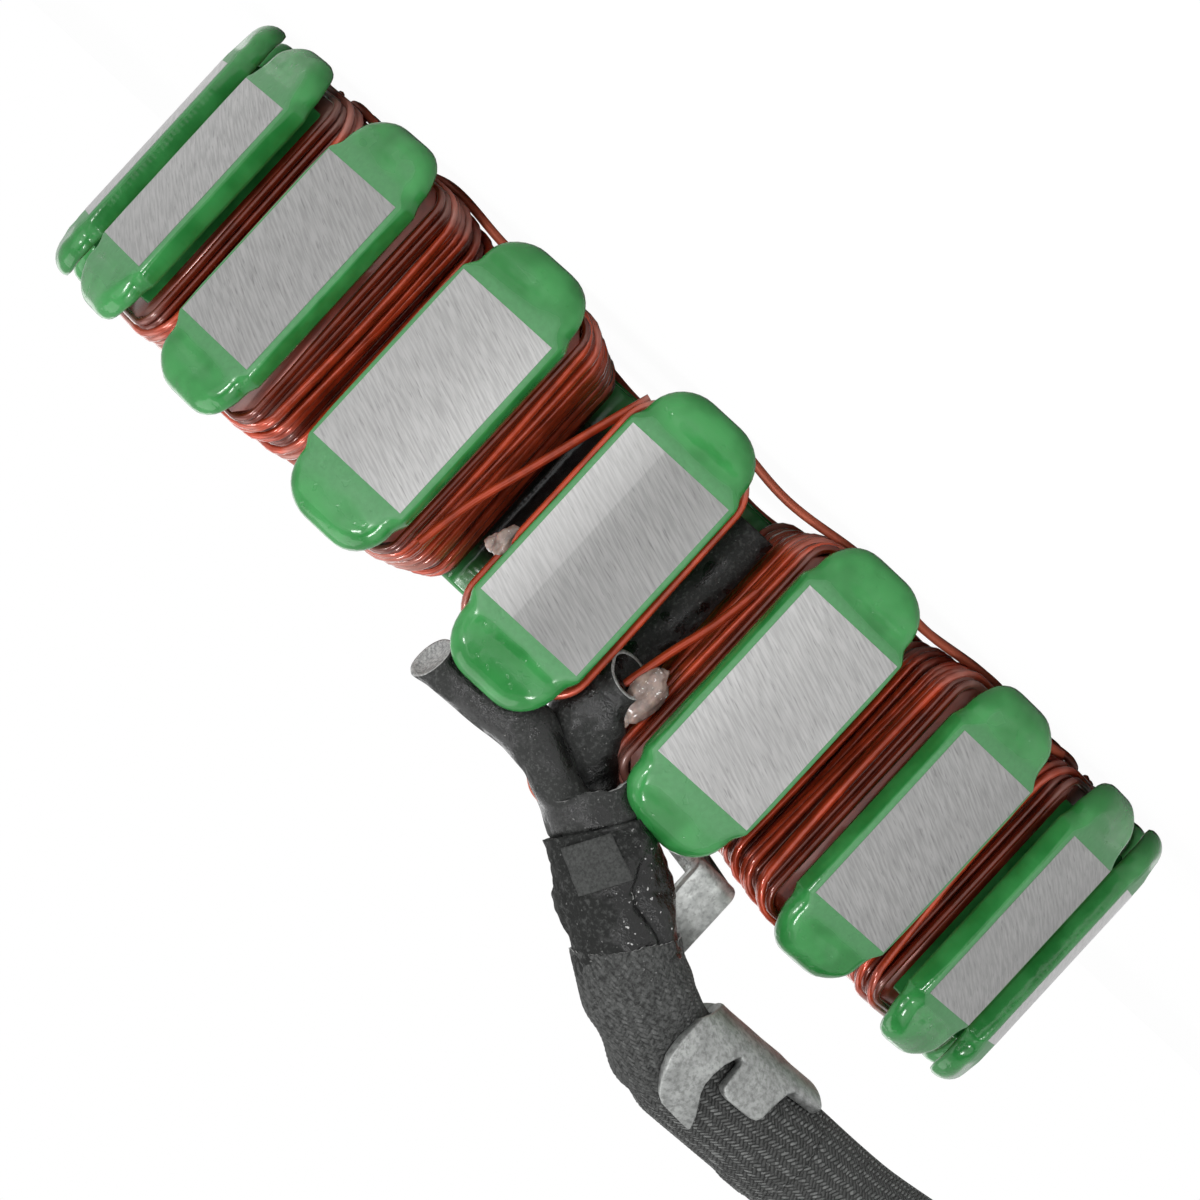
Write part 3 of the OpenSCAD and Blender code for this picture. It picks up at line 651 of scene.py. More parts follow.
def head_outline():
    """One quarter of a coated head seen from outside, as (half width, height) from the side's middle to the tip."""
    s = sizes()
    wide, narrow, corner = s.head_half_w / MM, s.tab_half_w / MM, s.tab_corner / MM
    step_low, step_high = STACK_END + 0.2, TAB_TIP - corner - 0.1
    quarter = [(wide, z) for z in (0.0, 3.0, 6.0)]
    for i in range(7):
        t = i / 6
        quarter.append((wide + (narrow - wide) * smoothstep(0, 1, t), step_low + (step_high - step_low) * t))
    for i in range(10):
        a = radians(90 * i / 9)
        quarter.append((narrow - corner + corner * cos(a), TAB_TIP - corner + corner * sin(a)))
    return quarter


def add_head(bm, k, rng):
    """A coated pole head with its two tabs, as one rounded bar bent to the core's curve."""
    s = sizes()
    thick, round_r, back_r = s.tab_thick / MM, s.coat_round / MM, 0.5
    quarter = head_outline()
    right = [(w, -z) for w, z in reversed(quarter[1:])] + quarter
    loop = [Vector(p) for p in right + [(-w, z) for w, z in reversed(right)]]
    count = len(loop)
    outer = CORE_R - 0.03
    inward = []
    for i in range(count):
        along = (loop[(i + 1) % count] - loop[i - 1]).normalized()
        inward.append(Vector((-along.y, along.x)))

    def ring(angle, front):
        """The outline, drawn in and set back by a round edge."""
        a = radians(angle)
        made = []
        for point, side in zip(loop, inward):
            # Beside the ground face the edge is tighter than on the tabs
            tight = 0.3 + 0.7 * smoothstep(-0.4, 1.4, abs(point.y) - STACK_END)
            r = round_r * tight if front else back_r
            place = point + r * (1 - cos(a)) * side
            drop = r * (1 - sin(a))
            made.append(bm.verts.new((outer - drop if front else outer - thick + drop, place.x, place.y)))
        return made

    rings = [ring(a, True) for a in (90, 72, 54, 36, 18, 0)] + [ring(a, False) for a in (0, 45, 90)]
    for one, two in zip(rings, rings[1:]):
        for i in range(count):
            j = (i + 1) % count
            bm.faces.new((one[i], one[j], two[j], two[i]))
    bm.faces.new(rings[0])
    bm.faces.new(rings[-1])
    whole = {v for ring in rings for v in ring}
    face_out(bm, faces_of(whole))
    cuts = [((0, 1, 0), 0.9 * n) for n in range(-4, 5)]
    for h in (0.4, 0.8, 1.2, 1.6, 2.0, 2.4, 2.9, 3.5, 4.1):
        cuts += [((0, 0, 1), sign * (STACK_END + h)) for sign in (-1, 1)]
    for normal, value in cuts:
        whole |= set(cut_through(bm, list(whole) + edges_of(whole) + faces_of(whole), normal, value))
    ends = {}
    for sign in (-1, 1):
        ends[sign] = {
            "flush": rng.uniform(0.2, 1.6), "slant": rng.uniform(-0.14, 0.14), "groove": rng.uniform(0.05, 0.20),
            "groove_at": rng.uniform(1.2, 1.9), "drop": rng.uniform(0.14, 0.24), "seed": rng.uniform(0, 50)}
    for vert in whole:
        x, y, z = vert.co
        height = abs(z) - STACK_END
        depth = outer - x
        end = ends[1 if z > 0 else -1]
        near_front = 1 - smoothstep(0.6, 1.9, depth)
        if height > 0:
            past = height - end["flush"] - end["slant"] * y
            drop = end["drop"] * smoothstep(0, 1.6, past)
            spread = max(0.0, 1 - (abs(y) / 4.5) ** 4)
            groove = end["groove"] * spread * exp(-((height - end["groove_at"]) / 0.7) ** 2)
            pillow = 0.10 * noise.noise(Vector((y * 0.5, z * 0.5, end["seed"]))) * smoothstep(0.8, 2.0, height)
            tip = 0.55 * smoothstep(3.0, 5.6, height)
            x -= near_front * (drop + groove * smoothstep(0.5, 1.2, height) - pillow) + tip
        if k == 0 and z > 0:
            z += 0.55 * smoothstep(0.8, 5.2, height)
        vert.co = (x - y * y / (2 * CORE_R), y, z)
    bmesh.ops.transform(bm, matrix=pole_matrix(k), verts=list(whole))


def drilled_solid(bm, outline, low, high, bolt_r, rivet_r, soft):
    """An outline with the bore and the holes of the core, extruded, with soft rims."""
    loops = [outline, circle(BORE_R)]
    for angles, r in ((BOLT_ANGLES, bolt_r), (RIVET_ANGLES, rivet_r), ((CLAMP_TURN,), CLAMP_HOLE_R)):
        loops += [[polar(HOLES_R, a, 0) + p for p in circle(r, 28)] for a in angles]
    edges = []
    for loop in loops:
        edges += closed_edges(bm, [bm.verts.new((p.x, p.y, low)) for p in loop])
    made = bmesh.ops.triangle_fill(bm, use_beauty=True, use_dissolve=False, edges=edges)["geom"]
    filled = of_kind(made, BMFace)
    top = of_kind(bmesh.ops.extrude_face_region(bm, geom=filled, use_keep_orig=True)["geom"], BMVert)
    bmesh.ops.translate(bm, vec=(0, 0, high - low), verts=top)
    whole = {v for f in filled for v in f.verts} | set(top)
    face_out(bm, faces_of(whole))
    rims = [e for e in edges_of(whole)
            if abs(e.verts[0].co.z - e.verts[1].co.z) < 1e-6 and e.calc_face_angle(0) > 1.0]
    whole |= {v for f in soften(bm, rims, soft, 3) for v in f.verts}
    whole = [v for v in whole if v.is_valid]
    bmesh.ops.transform(bm, matrix=TO_METRES @ Matrix.Translation((0, 0, MID_Z)), verts=whole)


def add_star(bm):
    """The coated yoke ring with its necks, and the flat seat ring on its back."""
    yoke_r, neck, reach = 33.5, 3.3, CORE_R - 2.4
    bolt_r, rivet_r = 3.25, 3.6
    neck_turn = degrees(asin(neck / yoke_r))
    outline = []
    for k in range(POLE_COUNT):
        base = pole_angle(k)
        side = neck * polar(1, base + 90, 0)
        for i in range(5):
            outline.append(polar(yoke_r, base + PITCH - neck_turn - (PITCH - 2 * neck_turn) * i / 4, 0))
        outline += [polar(reach, base, 0) + side, polar(reach, base, 0) - side]
    drilled_solid(bm, outline, -COAT_END, COAT_END, bolt_r, rivet_r, 0.35)
    drilled_solid(bm, circle(32.5), -COAT_END - 0.2, -COAT_END + 0.2, bolt_r, rivet_r, 0.08)


class STATOR_OT_core(bpy.types.Operator):
    """Finish the steel core and model its green coat"""

    bl_idname = "stator.core"
    bl_label = "Coated core"

    def execute(self, context):
        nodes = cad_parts
        nodes["lamination_stack"].data.materials.clear()
        nodes["lamination_stack"].data.materials.append(ground_steel())
        plate = plain_steel("plate_steel", (0.45, 0.45, 0.45), 0.5)
        ring = circle(33.0)
        for name, low in (("end_plate_lead_side", STACK_END), ("end_plate_back", -PLATE_END)):
            bm = bmesh.new()
            drilled_solid(bm, ring, low, low + PLATE_END - STACK_END, 3.2, 2.1, 0.04)
            finish_piece(name.replace("end_plate", "plate"), bm, [plate], [name])
        rng = random.Random(11)
        bm = bmesh.new()
        add_star(bm)
        for k in range(POLE_COUNT):
            add_head(bm, k, rng)
        coat = finish_piece("coat", bm, [green_epoxy()], ["epoxy_coat"])
        if not coat.data.polygons:
            raise RuntimeError("the coat has no faces")
        return {"FINISHED"}


class STATOR_OT_rivets(bpy.types.Operator):
    """Model the rivets that hold the core together"""

    bl_idname = "stator.rivets"
    bl_label = "Core rivets"

    def execute(self, context):
        bm = bmesh.new()
        dome = [
            (0.0, 1.6), (1.0, 1.55), (1.9, 1.28), (2.7, 0.85), (3.25, 0.38), (3.5, 0.05), (3.5, -0.3), (0.0, -0.3)]
        flush = [(0.0, 0.5), (3.3, 0.5), (3.5, 0.35), (3.5, 0.0), (0.0, 0.0)]
        for angle in RIVET_ANGLES:
            place = TO_METRES @ Matrix.Translation(polar(HOLES_R, angle, MID_Z))
            for profile, flip in ((dome, 0), (flush, pi)):
                turn = Matrix.Rotation(flip, 4, "X") @ Matrix.Translation((0, 0, PLATE_END))
                lathe(bm, profile, place @ turn, 40)
        steel = plain_steel("rivet_steel", (0.55, 0.55, 0.54), 0.38)
        finish_piece("rivets", bm, [steel], ["core_rivets"])
        return {"FINISHED"}


# The windings


def turn_points(half_w, half_h, corner, radial, outward, per_side=10, per_end=6, per_corner=5):
    """One turn round a pole in its own frame: radial(t) and outward(t) take the share t of the turn."""
    flat = []
    w, h = half_w - corner, half_h - corner
    corners = [(w, h, 0), (-w, h, 90), (-w, -h, 180), (w, -h, 270)]
    starts = [(half_w, -h), (w, half_h), (-half_w, h), (-w, -half_h)]
    ends = [(half_w, h), (-w, half_h), (-half_w, -h), (w, -half_h)]
    normals = [(1, 0), (0, 1), (-1, 0), (0, -1)]
    counts = [per_side, per_end, per_side, per_end]
    for (sy, sz), (ey, ez), normal, count, (cy, cz, a0) in zip(starts, ends, normals, counts, corners):
        for i in range(count):
            f = i / count
            flat.append((sy + (ey - sy) * f, sz + (ez - sz) * f, *normal))
        for i in range(per_corner):
            a = radians(a0 + 90 * i / per_corner)
            flat.append((cy + corner * cos(a), cz + corner * sin(a), cos(a), sin(a)))
    count = len(flat)
    points = []
    for i, (y, z, ny, nz) in enumerate(flat):
        t = i / count
        out = outward(t)
        points.append(Vector((radial(t), y + out * ny, z + out * nz)))
    return points


def wavy(rng, amount, stations=6):
    """A smooth closed wobble over one turn."""
    values = [rng.uniform(-amount, amount) for _ in range(stations)]

    def at(t):
        x = (t % 1) * stations
        i = int(x) % stations
        f = smoothstep(0, 1, x - int(x))
        return values[i] * (1 - f) + values[(i + 1) % stations] * f

    return at


def winding(rng):
    """Turns of one coil: close turns below, spaced turns on top that fan out at the coil's ends."""
    wire = sizes().wire_d / MM
    span = COIL_OUT_R - COIL_IN_R
    below, above = 20, 13
    under, over = [], []

    def turn(r, corner, radial, outward):
        build = 0.74 + 1.40 * (r - COIL_IN_R) / span - wire / 2
        return turn_points(NECK_HALF_W + build, NECK_HALF_H + build, corner, radial, outward)

    for i in range(below):
        r = COIL_IN_R + wire / 2 + i * (span - wire) / (below - 1)
        shift, lift = wavy(rng, 0.20 * wire), wavy(rng, 0.14 * wire)
        radial = lambda t, r=r, shift=shift: min(max(r + shift(t), COIL_IN_R + 0.3), COIL_OUT_R - 0.3)
        outward = lambda t, lift=lift: lift(t) - 0.42 * wire
        under.append(turn(r, 1.9, radial, outward))
    pinch = rng.uniform(42.5, 45.5)
    for i in range(above):
        r = COIL_IN_R + 0.8 + (span - 1.3) * (i + rng.uniform(0.2, 0.8)) / above
        shift, lift = wavy(rng, 0.75, 4), wavy(rng, 0.14 * wire)
        ride = rng.uniform(0.02, 0.42) * wire

        def radial(t, r=r, shift=shift):
            at_end = cos(2 * pi * (t - 0.36)) ** 2
            drawn = r + (pinch - r) * 0.22 * (1 - at_end) + shift(t)
            return min(max(drawn, COIL_IN_R + 0.4), COIL_OUT_R - 0.25)

        outward = lambda t, ride=ride, lift=lift: ride + lift(t)
        over.append(turn(r, 2.3, radial, outward))
    return under, over


def loose_turns(rng):
    """The two slack turns on the nearly bare pole, which lie along its head's edges."""
    turns = []
    for r, half_w, half_h in ((48.0, 5.35, 11.1), (48.65, 5.6, 11.5)):
        shift, lift = wavy(rng, 0.12), wavy(rng, 0.10)
        turns.append(turn_points(half_w, half_h, 3.0, lambda t, r=r, s=shift: r + s(t), lift, per_corner=10))
    return turns


def add_turns(bm, k, turns):
    add_wires(bm, [([pole_matrix(k) @ p for p in points], True) for points in turns], sizes().wire_d)


def add_fill(bm, k):
    """The inner layers of a winding, a tapered block behind the outer turns."""
    cut = 1.5
    rings = []
    for r, build in ((33.7, 0.12), (48.75, 1.35)):
        w, h = NECK_HALF_W + build, NECK_HALF_H + build
        loop = [(w, -h + cut), (w, h - cut), (w - cut, h), (-w + cut, h), (-w, h - cut), (-w, -h + cut),
                (-w + cut, -h), (w - cut, -h)]
        rings.append([bm.verts.new(pole_matrix(k) @ Vector((r, y, z))) for y, z in loop])
    edges = [e for ring in rings for e in closed_edges(bm, ring)]
    made = bmesh.ops.bridge_loops(bm, edges=edges)["faces"] + [bm.faces.new(ring) for ring in rings]
    face_out(bm, made)


class STATOR_OT_coils(bpy.types.Operator):
    """Wind the coils turn by turn"""

    bl_idname = "stator.coils"
    bl_label = "Wound coils"

    def execute(self, context):
        # The block and the close turns below take a darker copy of the enamel, as painted shade
        enamel, enamel_painted_shade = enamelled_wire(), enamelled_wire("enamelled_wire_deep", 0.3)
        for k in range(POLE_COUNT):
            rng = random.Random(100 + k)
            bm = bmesh.new()
            below, above = winding(rng) if k else ([], loose_turns(rng))
            if below:
                add_fill(bm, k)
                add_turns(bm, k, below)
            deep = len(bm.faces)
            add_turns(bm, k, above)
            bm.faces.ensure_lookup_table()
            # These faces take the painted-shade enamel
            for face in bm.faces[:deep]:
                face.material_index = 1
            node = f"coil_{k + 1:02d}"
            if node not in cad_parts:
                raise RuntimeError(f"there is no solid for {node}")
            finish_piece(f"winding_{k + 1:02d}", bm, [enamel, enamel_painted_shade], [node])
        return {"FINISHED"}


# Loose wires, sleeves and resin beside the nearly bare pole

CROSSING = ((10.8, -47.7, 22.9), (10.0, -47.6, 18.3), (8.3, -47.8, 12.7), (6.7, -48.1, 7.3), (5.3, -48.0, 2.9))
ENTRY = ((-10.7, -46.8, 8.2), (-10.1, -46.9, 12.1), (-9.0, -46.9, 16.1), (-7.9, -46.6, 21.0))
COLLAR = Vector((-12.64, -46.5, COIL_TOP + 3.85))
BUNDLE_DIR = Vector((-0.8251, 0, 0.5650))
BUNDLE_L = 11.6
SPLICE_A = (
    (4.2, -47.9, COIL_TOP + 2.5), (1.0, -47.9, COIL_TOP + 2.3), (-2.4, -47.9, COIL_TOP + 2.15),
    (-6.6, -48.1, COIL_TOP + 2.1), (-9.3, -47.9, COIL_TOP + 3.1), (-12.3, -47.6, COIL_TOP + 4.0))
SPLICE_B = (
    (-7.9, -46.6, 19.5), (-7.9, -46.4, 22.0), (-8.3, -46.0, 24.3), (-9.7, -45.4, COIL_TOP + 0.4),
    (-11.5, -45.0, COIL_TOP + 1.9), (-14.0, -45.0, COIL_TOP + 3.6))
# A stub of wire that shows between splice sleeve A and the collar
STUB = ((-6.8, -47.6, 29.5), (-7.6, -47.8, 30.3), (-8.5, -47.9, 30.85), (-9.8, -47.8, 31.0), (-11.0, -47.5, 31.0))
# The collar and the bundle lean a little nearer to the tab than their solids
LEAN = Vector((-0.59, 0, -0.87))
CLAMP_OUT = polar(1, CLAMP_TURN, 0)
CLAMP_DIR = Vector((CLAMP_OUT.y, -CLAMP_OUT.x, 0))
CLAMP_Z = MID_Z + 25.5
GRIP_R = 4.7
ARM_R = CORE_R - 6
GRIP = (ARM_R + 0.5 + GRIP_R) * CLAMP_OUT + Vector((0, 0, CLAMP_Z))
TROUGH_END = 16.5


def grip_point(s):
    return GRIP + s * CLAMP_DIR


class STATOR_OT_wires(bpy.types.Operator):
    """Lay the jumpers and the single wires beside the nearly bare pole"""

    bl_idname = "stator.wires"
    bl_label = "Loose wires"

    def execute(self, context):
        enamel = bpy.data.materials["enamelled_wire"]
        wire = sizes().wire_d
        for phase, name in enumerate(("phase_a_jumpers", "phase_b_jumpers", "phase_c_jumpers")):
            rng = random.Random(300 + phase)
            runs = []
            for i in range(POLE_COUNT // 3 - 1):
                sway = wavy(rng, 0.3)
                start = pole_angle(phase + 3 * i + 3) + 4
                points, steps = [], 52
                for n in range(steps + 1):
                    dip = (1 - cos(radians(POLE_COUNT * (start + n + 90)))) / 2
                    away = sway(n / steps) * sin(pi * n / steps)
                    r = 46.4 - 1.4 * phase - 1.4 * dip + away
                    points.append(polar(r, start + n, 0.75 + 0.7 * dip) * MM)
                runs.append((points, False))
            bm = bmesh.new()
            add_wires(bm, runs, wire)
            finish_piece(f"jumper_wires_{phase + 1}", bm, [enamel], [name])
        single = enamelled_wire("enamelled_wire_single", 0.72, 0.15)
        for name, route in (("crossing_wire", CROSSING), ("entry_wire", ENTRY)):
            bm = bmesh.new()
            add_wires(bm, [(metres(curve_through(route, 40)), False)], wire, 3)
            finish_piece(name + "_run", bm, [single], [name])
        return {"FINISHED"}


def open_end(bm, verts, centre, inward, share, depth, rim_index, floor_index):
    """Gives a rolled sheet's open end a rim, an inner wall and a floor."""
    rim = [e for e in edges_of(verts) if e.is_boundary and (e.verts[0].co - centre).length < 6 * MM
           and abs((e.verts[0].co - centre).dot(inward)) < 1.85 * MM]
    if not rim:
        raise RuntimeError("a sleeve's open end was not found")
    for amount, index in ((share, rim_index), (None, floor_index)):
        made = bmesh.ops.extrude_edge_only(bm, edges=rim)["geom"]
        ring = of_kind(made, BMVert)
        for face in of_kind(made, BMFace):
            face.material_index = index
        if amount:
            for vert in ring:
                vert.co = centre + (vert.co - centre) * amount
        else:
            bmesh.ops.translate(bm, vec=inward * depth, verts=ring)
        rim = [e for e in of_kind(made, BMEdge) if e.is_boundary]
    for face in bmesh.ops.holes_fill(bm, edges=rim, sides=0)["faces"]:
        face.material_index = floor_index
    face_out(bm, bm.faces[:])


def rough(u, v, seed, amount, turns=2.0, rows=4.0):
    """A wobble that closes round the turn."""
    a = 2 * pi * u
    return amount * noise.noise(Vector((turns * cos(a), turns * sin(a), rows * v + seed)))


class STATOR_OT_sleeves(bpy.types.Operator):
    """Model the splice sleeves, the slot sleeve, the collar and the taped bundle"""

    bl_idname = "stator.sleeves"
    bl_label = "Sleeves and bundle"

    def execute(self, context):
        varnished = varnished_sleeve()
        cut = matt_fibre("cut_fibre", (0.20, 0.20, 0.20), (0.46, 0.46, 0.45), 0.8, 0.5, 0.5, 0.0001)
        self.splice("splice_a", SPLICE_A, "splice_sleeve_a", varnished, cut, 0.95, 3.0)
        self.splice("splice_b", SPLICE_B, "splice_sleeve_b", varnished, cut, 1.2, 9.0)
        self.slot_sleeve(varnished, cut)
        self.collar(varnished, cut)
        self.bundle()
        return {"FINISHED"}

    def splice(self, name, route, node, varnished, cut, slant, seed):
        radius = sizes().splice_d / 2
        path = Path(metres(curve_through(route, 40)))
        bm = bmesh.new()

        def girth(u, v):
            side = sin(2 * pi * u)
            if name == "splice_b":
                # Pressed flat behind the tab, most on the side of splice A
                pressed = smoothstep(0.05, 0.35, v) * (1 - smoothstep(0.75, 1.0, v))
                oval = (1.25 + 0.55 * side) * MM * side * side * pressed
            else:
                # Swollen on one side near its middle
                oval = 0.05 * radius * cos(4 * pi * u) * (1 - v)
                oval += 1.1 * MM * max(0.0, -side) ** 2 * exp(-((v - 0.52) / 0.13) ** 2)
            return radius + oval + rough(u, v, seed, 0.16 * MM, 1.4, 9) + 0.12 * MM * smoothstep(0.08, 0.0, v)

        def cut_askew(u, v):
            return slant * MM * cos(2 * pi * (u + 0.06)) * (1 - smoothstep(0, 0.25, v))

        verts = rolled_sheet(bm, path, 40, 70, girth, slide=cut_askew, caps=(False, True))
        open_end(bm, verts, path.points[0], path.along[0], 0.84, 0.5 * MM, 1, 2 if name == "splice_b" else 1)
        finish_piece(name, bm, [varnished, cut, varnished], [node])

    def slot_sleeve(self, varnished, cut):
        low, high = Vector((-7.5, -42.57, MID_Z - 9.0)), Vector((-7.5, -42.57, 21.4))
        path = Path(metres(straight(low, high, 20)))
        bm = bmesh.new()
        verts = rolled_sheet(
            bm, path, 32, 50, lambda u, v: 1.8 * MM + rough(u, v, 21.0, 0.14 * MM, 1.2, 7), caps=(False, False))
        open_end(bm, verts, path.points[0], path.along[0], 0.75, 1.2 * MM, 1, 0)
        open_end(bm, verts, path.points[-1], -path.along[-1], 0.75, 1.2 * MM, 1, 0)
        finish_piece("slot_tube", bm, [varnished, cut], ["slot_sleeve"])

    def collar(self, varnished, cut):
        """A cut piece of sleeve round both splices, torn at its mouth and tied at its lower end."""
        place, tie_at = COLLAR + LEAN, 0.86
        path = Path(metres(straight(place - 2.0 * BUNDLE_DIR, place + 1.6 * BUNDLE_DIR, 8)))
        bm = bmesh.new()

        def radius(u, v):
            waist = 0.35 * exp(-((v - tie_at) / 0.10) ** 2)
            return (4.0 - waist) * MM + rough(u, v, 31.0, 0.24 * MM, 1.5, 2) + 0.12 * MM * smoothstep(0.3, 0, v)

        def torn(u, v):
            edge = rough(u, 0.0, 7.0, 0.8 * MM, 1.5, 1) + rough(u, 0.0, 3.0, 0.16 * MM, 6, 1)
            return (1 - smoothstep(0, 0.5, v)) * edge

        verts = rolled_sheet(bm, path, 96, 30, radius, slide=torn, caps=(False, False))
        open_end(bm, verts, path.points[0], path.along[0], 0.86, 0.6 * MM, 1, 0)
        open_end(bm, verts, path.points[-1], -path.along[-1], 0.94, 0.2 * MM, 1, 0)
        tie = []
        for n in range(64):
            middle, _, out = path.around(n / 64, tie_at)
            tie.append(middle + 3.85 * MM * out)
        add_wires(bm, [(tie, True)], 0.5 * MM)
        before = len(bm.faces)
        add_wires(bm, [(metres(curve_through(STUB, 20)), False)], sizes().wire_d, 3)
        bm.faces.ensure_lookup_table()
        for face in bm.faces[before:]:
            face.material_index = 2
        enamel = bpy.data.materials["enamelled_wire"]
        finish_piece("collar", bm, [varnished, cut, enamel], ["bundle_collar"])

    def bundle(self):
        """Wound tape over the spliced wires, with one loose patch of tape."""
        place = COLLAR + LEAN
        path = Path(metres(straight(place + 0.9 * BUNDLE_DIR, place + (BUNDLE_L + 0.4) * BUNDLE_DIR, 12)))
        bm = bmesh.new()

        def radius(u, v):
            barrel = 3.5 + 0.88 * sin(pi * (0.25 + 0.62 * v))
            wound = (2.3 * v + u) % 1
            lap = 0.16 * smoothstep(0.0, 0.12, wound) - 0.10 * wound
            crease = 0.5 * exp(-((u - 0.90 + 0.03 * sin(9 * v)) / 0.018) ** 2) * smoothstep(0.15, 0.35, v)
            crease += 0.35 * exp(-((u - 0.06 - 0.25 * v) / 0.02) ** 2) * smoothstep(0.45, 0.6, v)
            uneven = rough(u, v, 41.0, 0.4 * MM, 1.3, 3) + rough(u, v, 5.0, 0.16 * MM, 5, 12)
            return (barrel + lap - crease) * MM + uneven

        rolled_sheet(bm, path, 128, 96, radius)
        made = bmesh.ops.create_grid(bm, x_segments=24, y_segments=20, size=0.5)["verts"]
        for vert in made:
            x, y, _ = vert.co
            u, v = 0.025 + 0.148 * x - 0.028 * y, 0.225 + 0.345 * y + 0.03 * x
            middle, _, out = path.around(u, v)
            lift = 0.26 * MM + 0.10 * MM * abs(x * y) * 4
            vert.co = middle + (radius(u % 1, v) + lift) * out
        faces = faces_of(made)
        face_out(bm, faces)
        sheet = bmesh.ops.solidify(bm, geom=faces, thickness=0.16 * MM)["geom"]
        for face in faces + of_kind(sheet, BMFace):
            face.material_index = 1
        patch = matt_fibre("tape_patch", (0.030, 0.031, 0.030), (0.058, 0.060, 0.058), 0.7, 0.15, 0.35, 0.00008)
        finish_piece("tape_wrap", bm, [black_tape(), patch], ["taped_bundle"])


class STATOR_OT_resin(bpy.types.Operator):
    """Model the drops of clear resin"""

    bl_idname = "stator.resin"
    bl_label = "Resin drops"

    def execute(self, context):
        bm = bmesh.new()
        drops = (
            ((-9.8, -46.9, 20.0), (1.3, 0.7, 2.5), 1), ((-9.4, -46.9, 22.3), (1.0, 0.6, 1.0), 2),
            ((5.9, -48.2, MID_Z + 4.7), (0.9, 1.1, 1.35), 3), ((6.5, -47.7, MID_Z + 5.3), (0.7, 0.8, 0.8), 4))
        for place, size, seed in drops:
            made = bmesh.ops.create_icosphere(bm, subdivisions=4, radius=1)["verts"]
            for vert in made:
                lump = 1 + 0.25 * noise.noise(vert.co * 1.5 + Vector((seed * 7.0, 0, 0)))
                lump += 0.10 * noise.noise(vert.co * 4.0 + Vector((0, seed * 5.0, 0)))
                vert.co = (Vector(place) + Vector(c * s for c, s in zip(vert.co * lump, size))) * MM
        finish_piece("resin", bm, [clear_resin()], ["resin_dabs"])
        return {"FINISHED"}


# The clamp bracket

# Flat pattern of the trough and its two straps: place along the sleeve in mm, turn round it in degrees
STRAP_PATTERN = (
    (5.6, -180), (5.6, -110), (4.9, -92), (3.8, -74), (2.7, -58), (1.65, -47), (1.25, -36), (0.87, -24),
    (0.78, -14), (0.8, -4), (1.3, 8), (2.06, 18), (2.7, 25), (3.57, 29.5), (7.25, 33.5), (7.3, 31), (6.6, 20),
    (5.9, 11), (5.2, 2), (4.92, -6), (5.0, -16), (5.45, -27), (6.1, -36), (6.5, -41), (6.75, -42.5),
    (6.98, -41), (6.9, -36), (6.68, -27), (6.53, -17), (6.55, -12.5), (6.9, -9.2), (7.6, -7.6), (10.2, -8.0),
    (10.75, -9.6), (11.05, -13.5), (11.35, -24), (11.85, -35), (12.5, -46), (13.2, -52.5),
    (15.9, -54.5), (16.4, -57), (TROUGH_END, -62), (TROUGH_END, -180))
ARM_HALF_W = 2.25


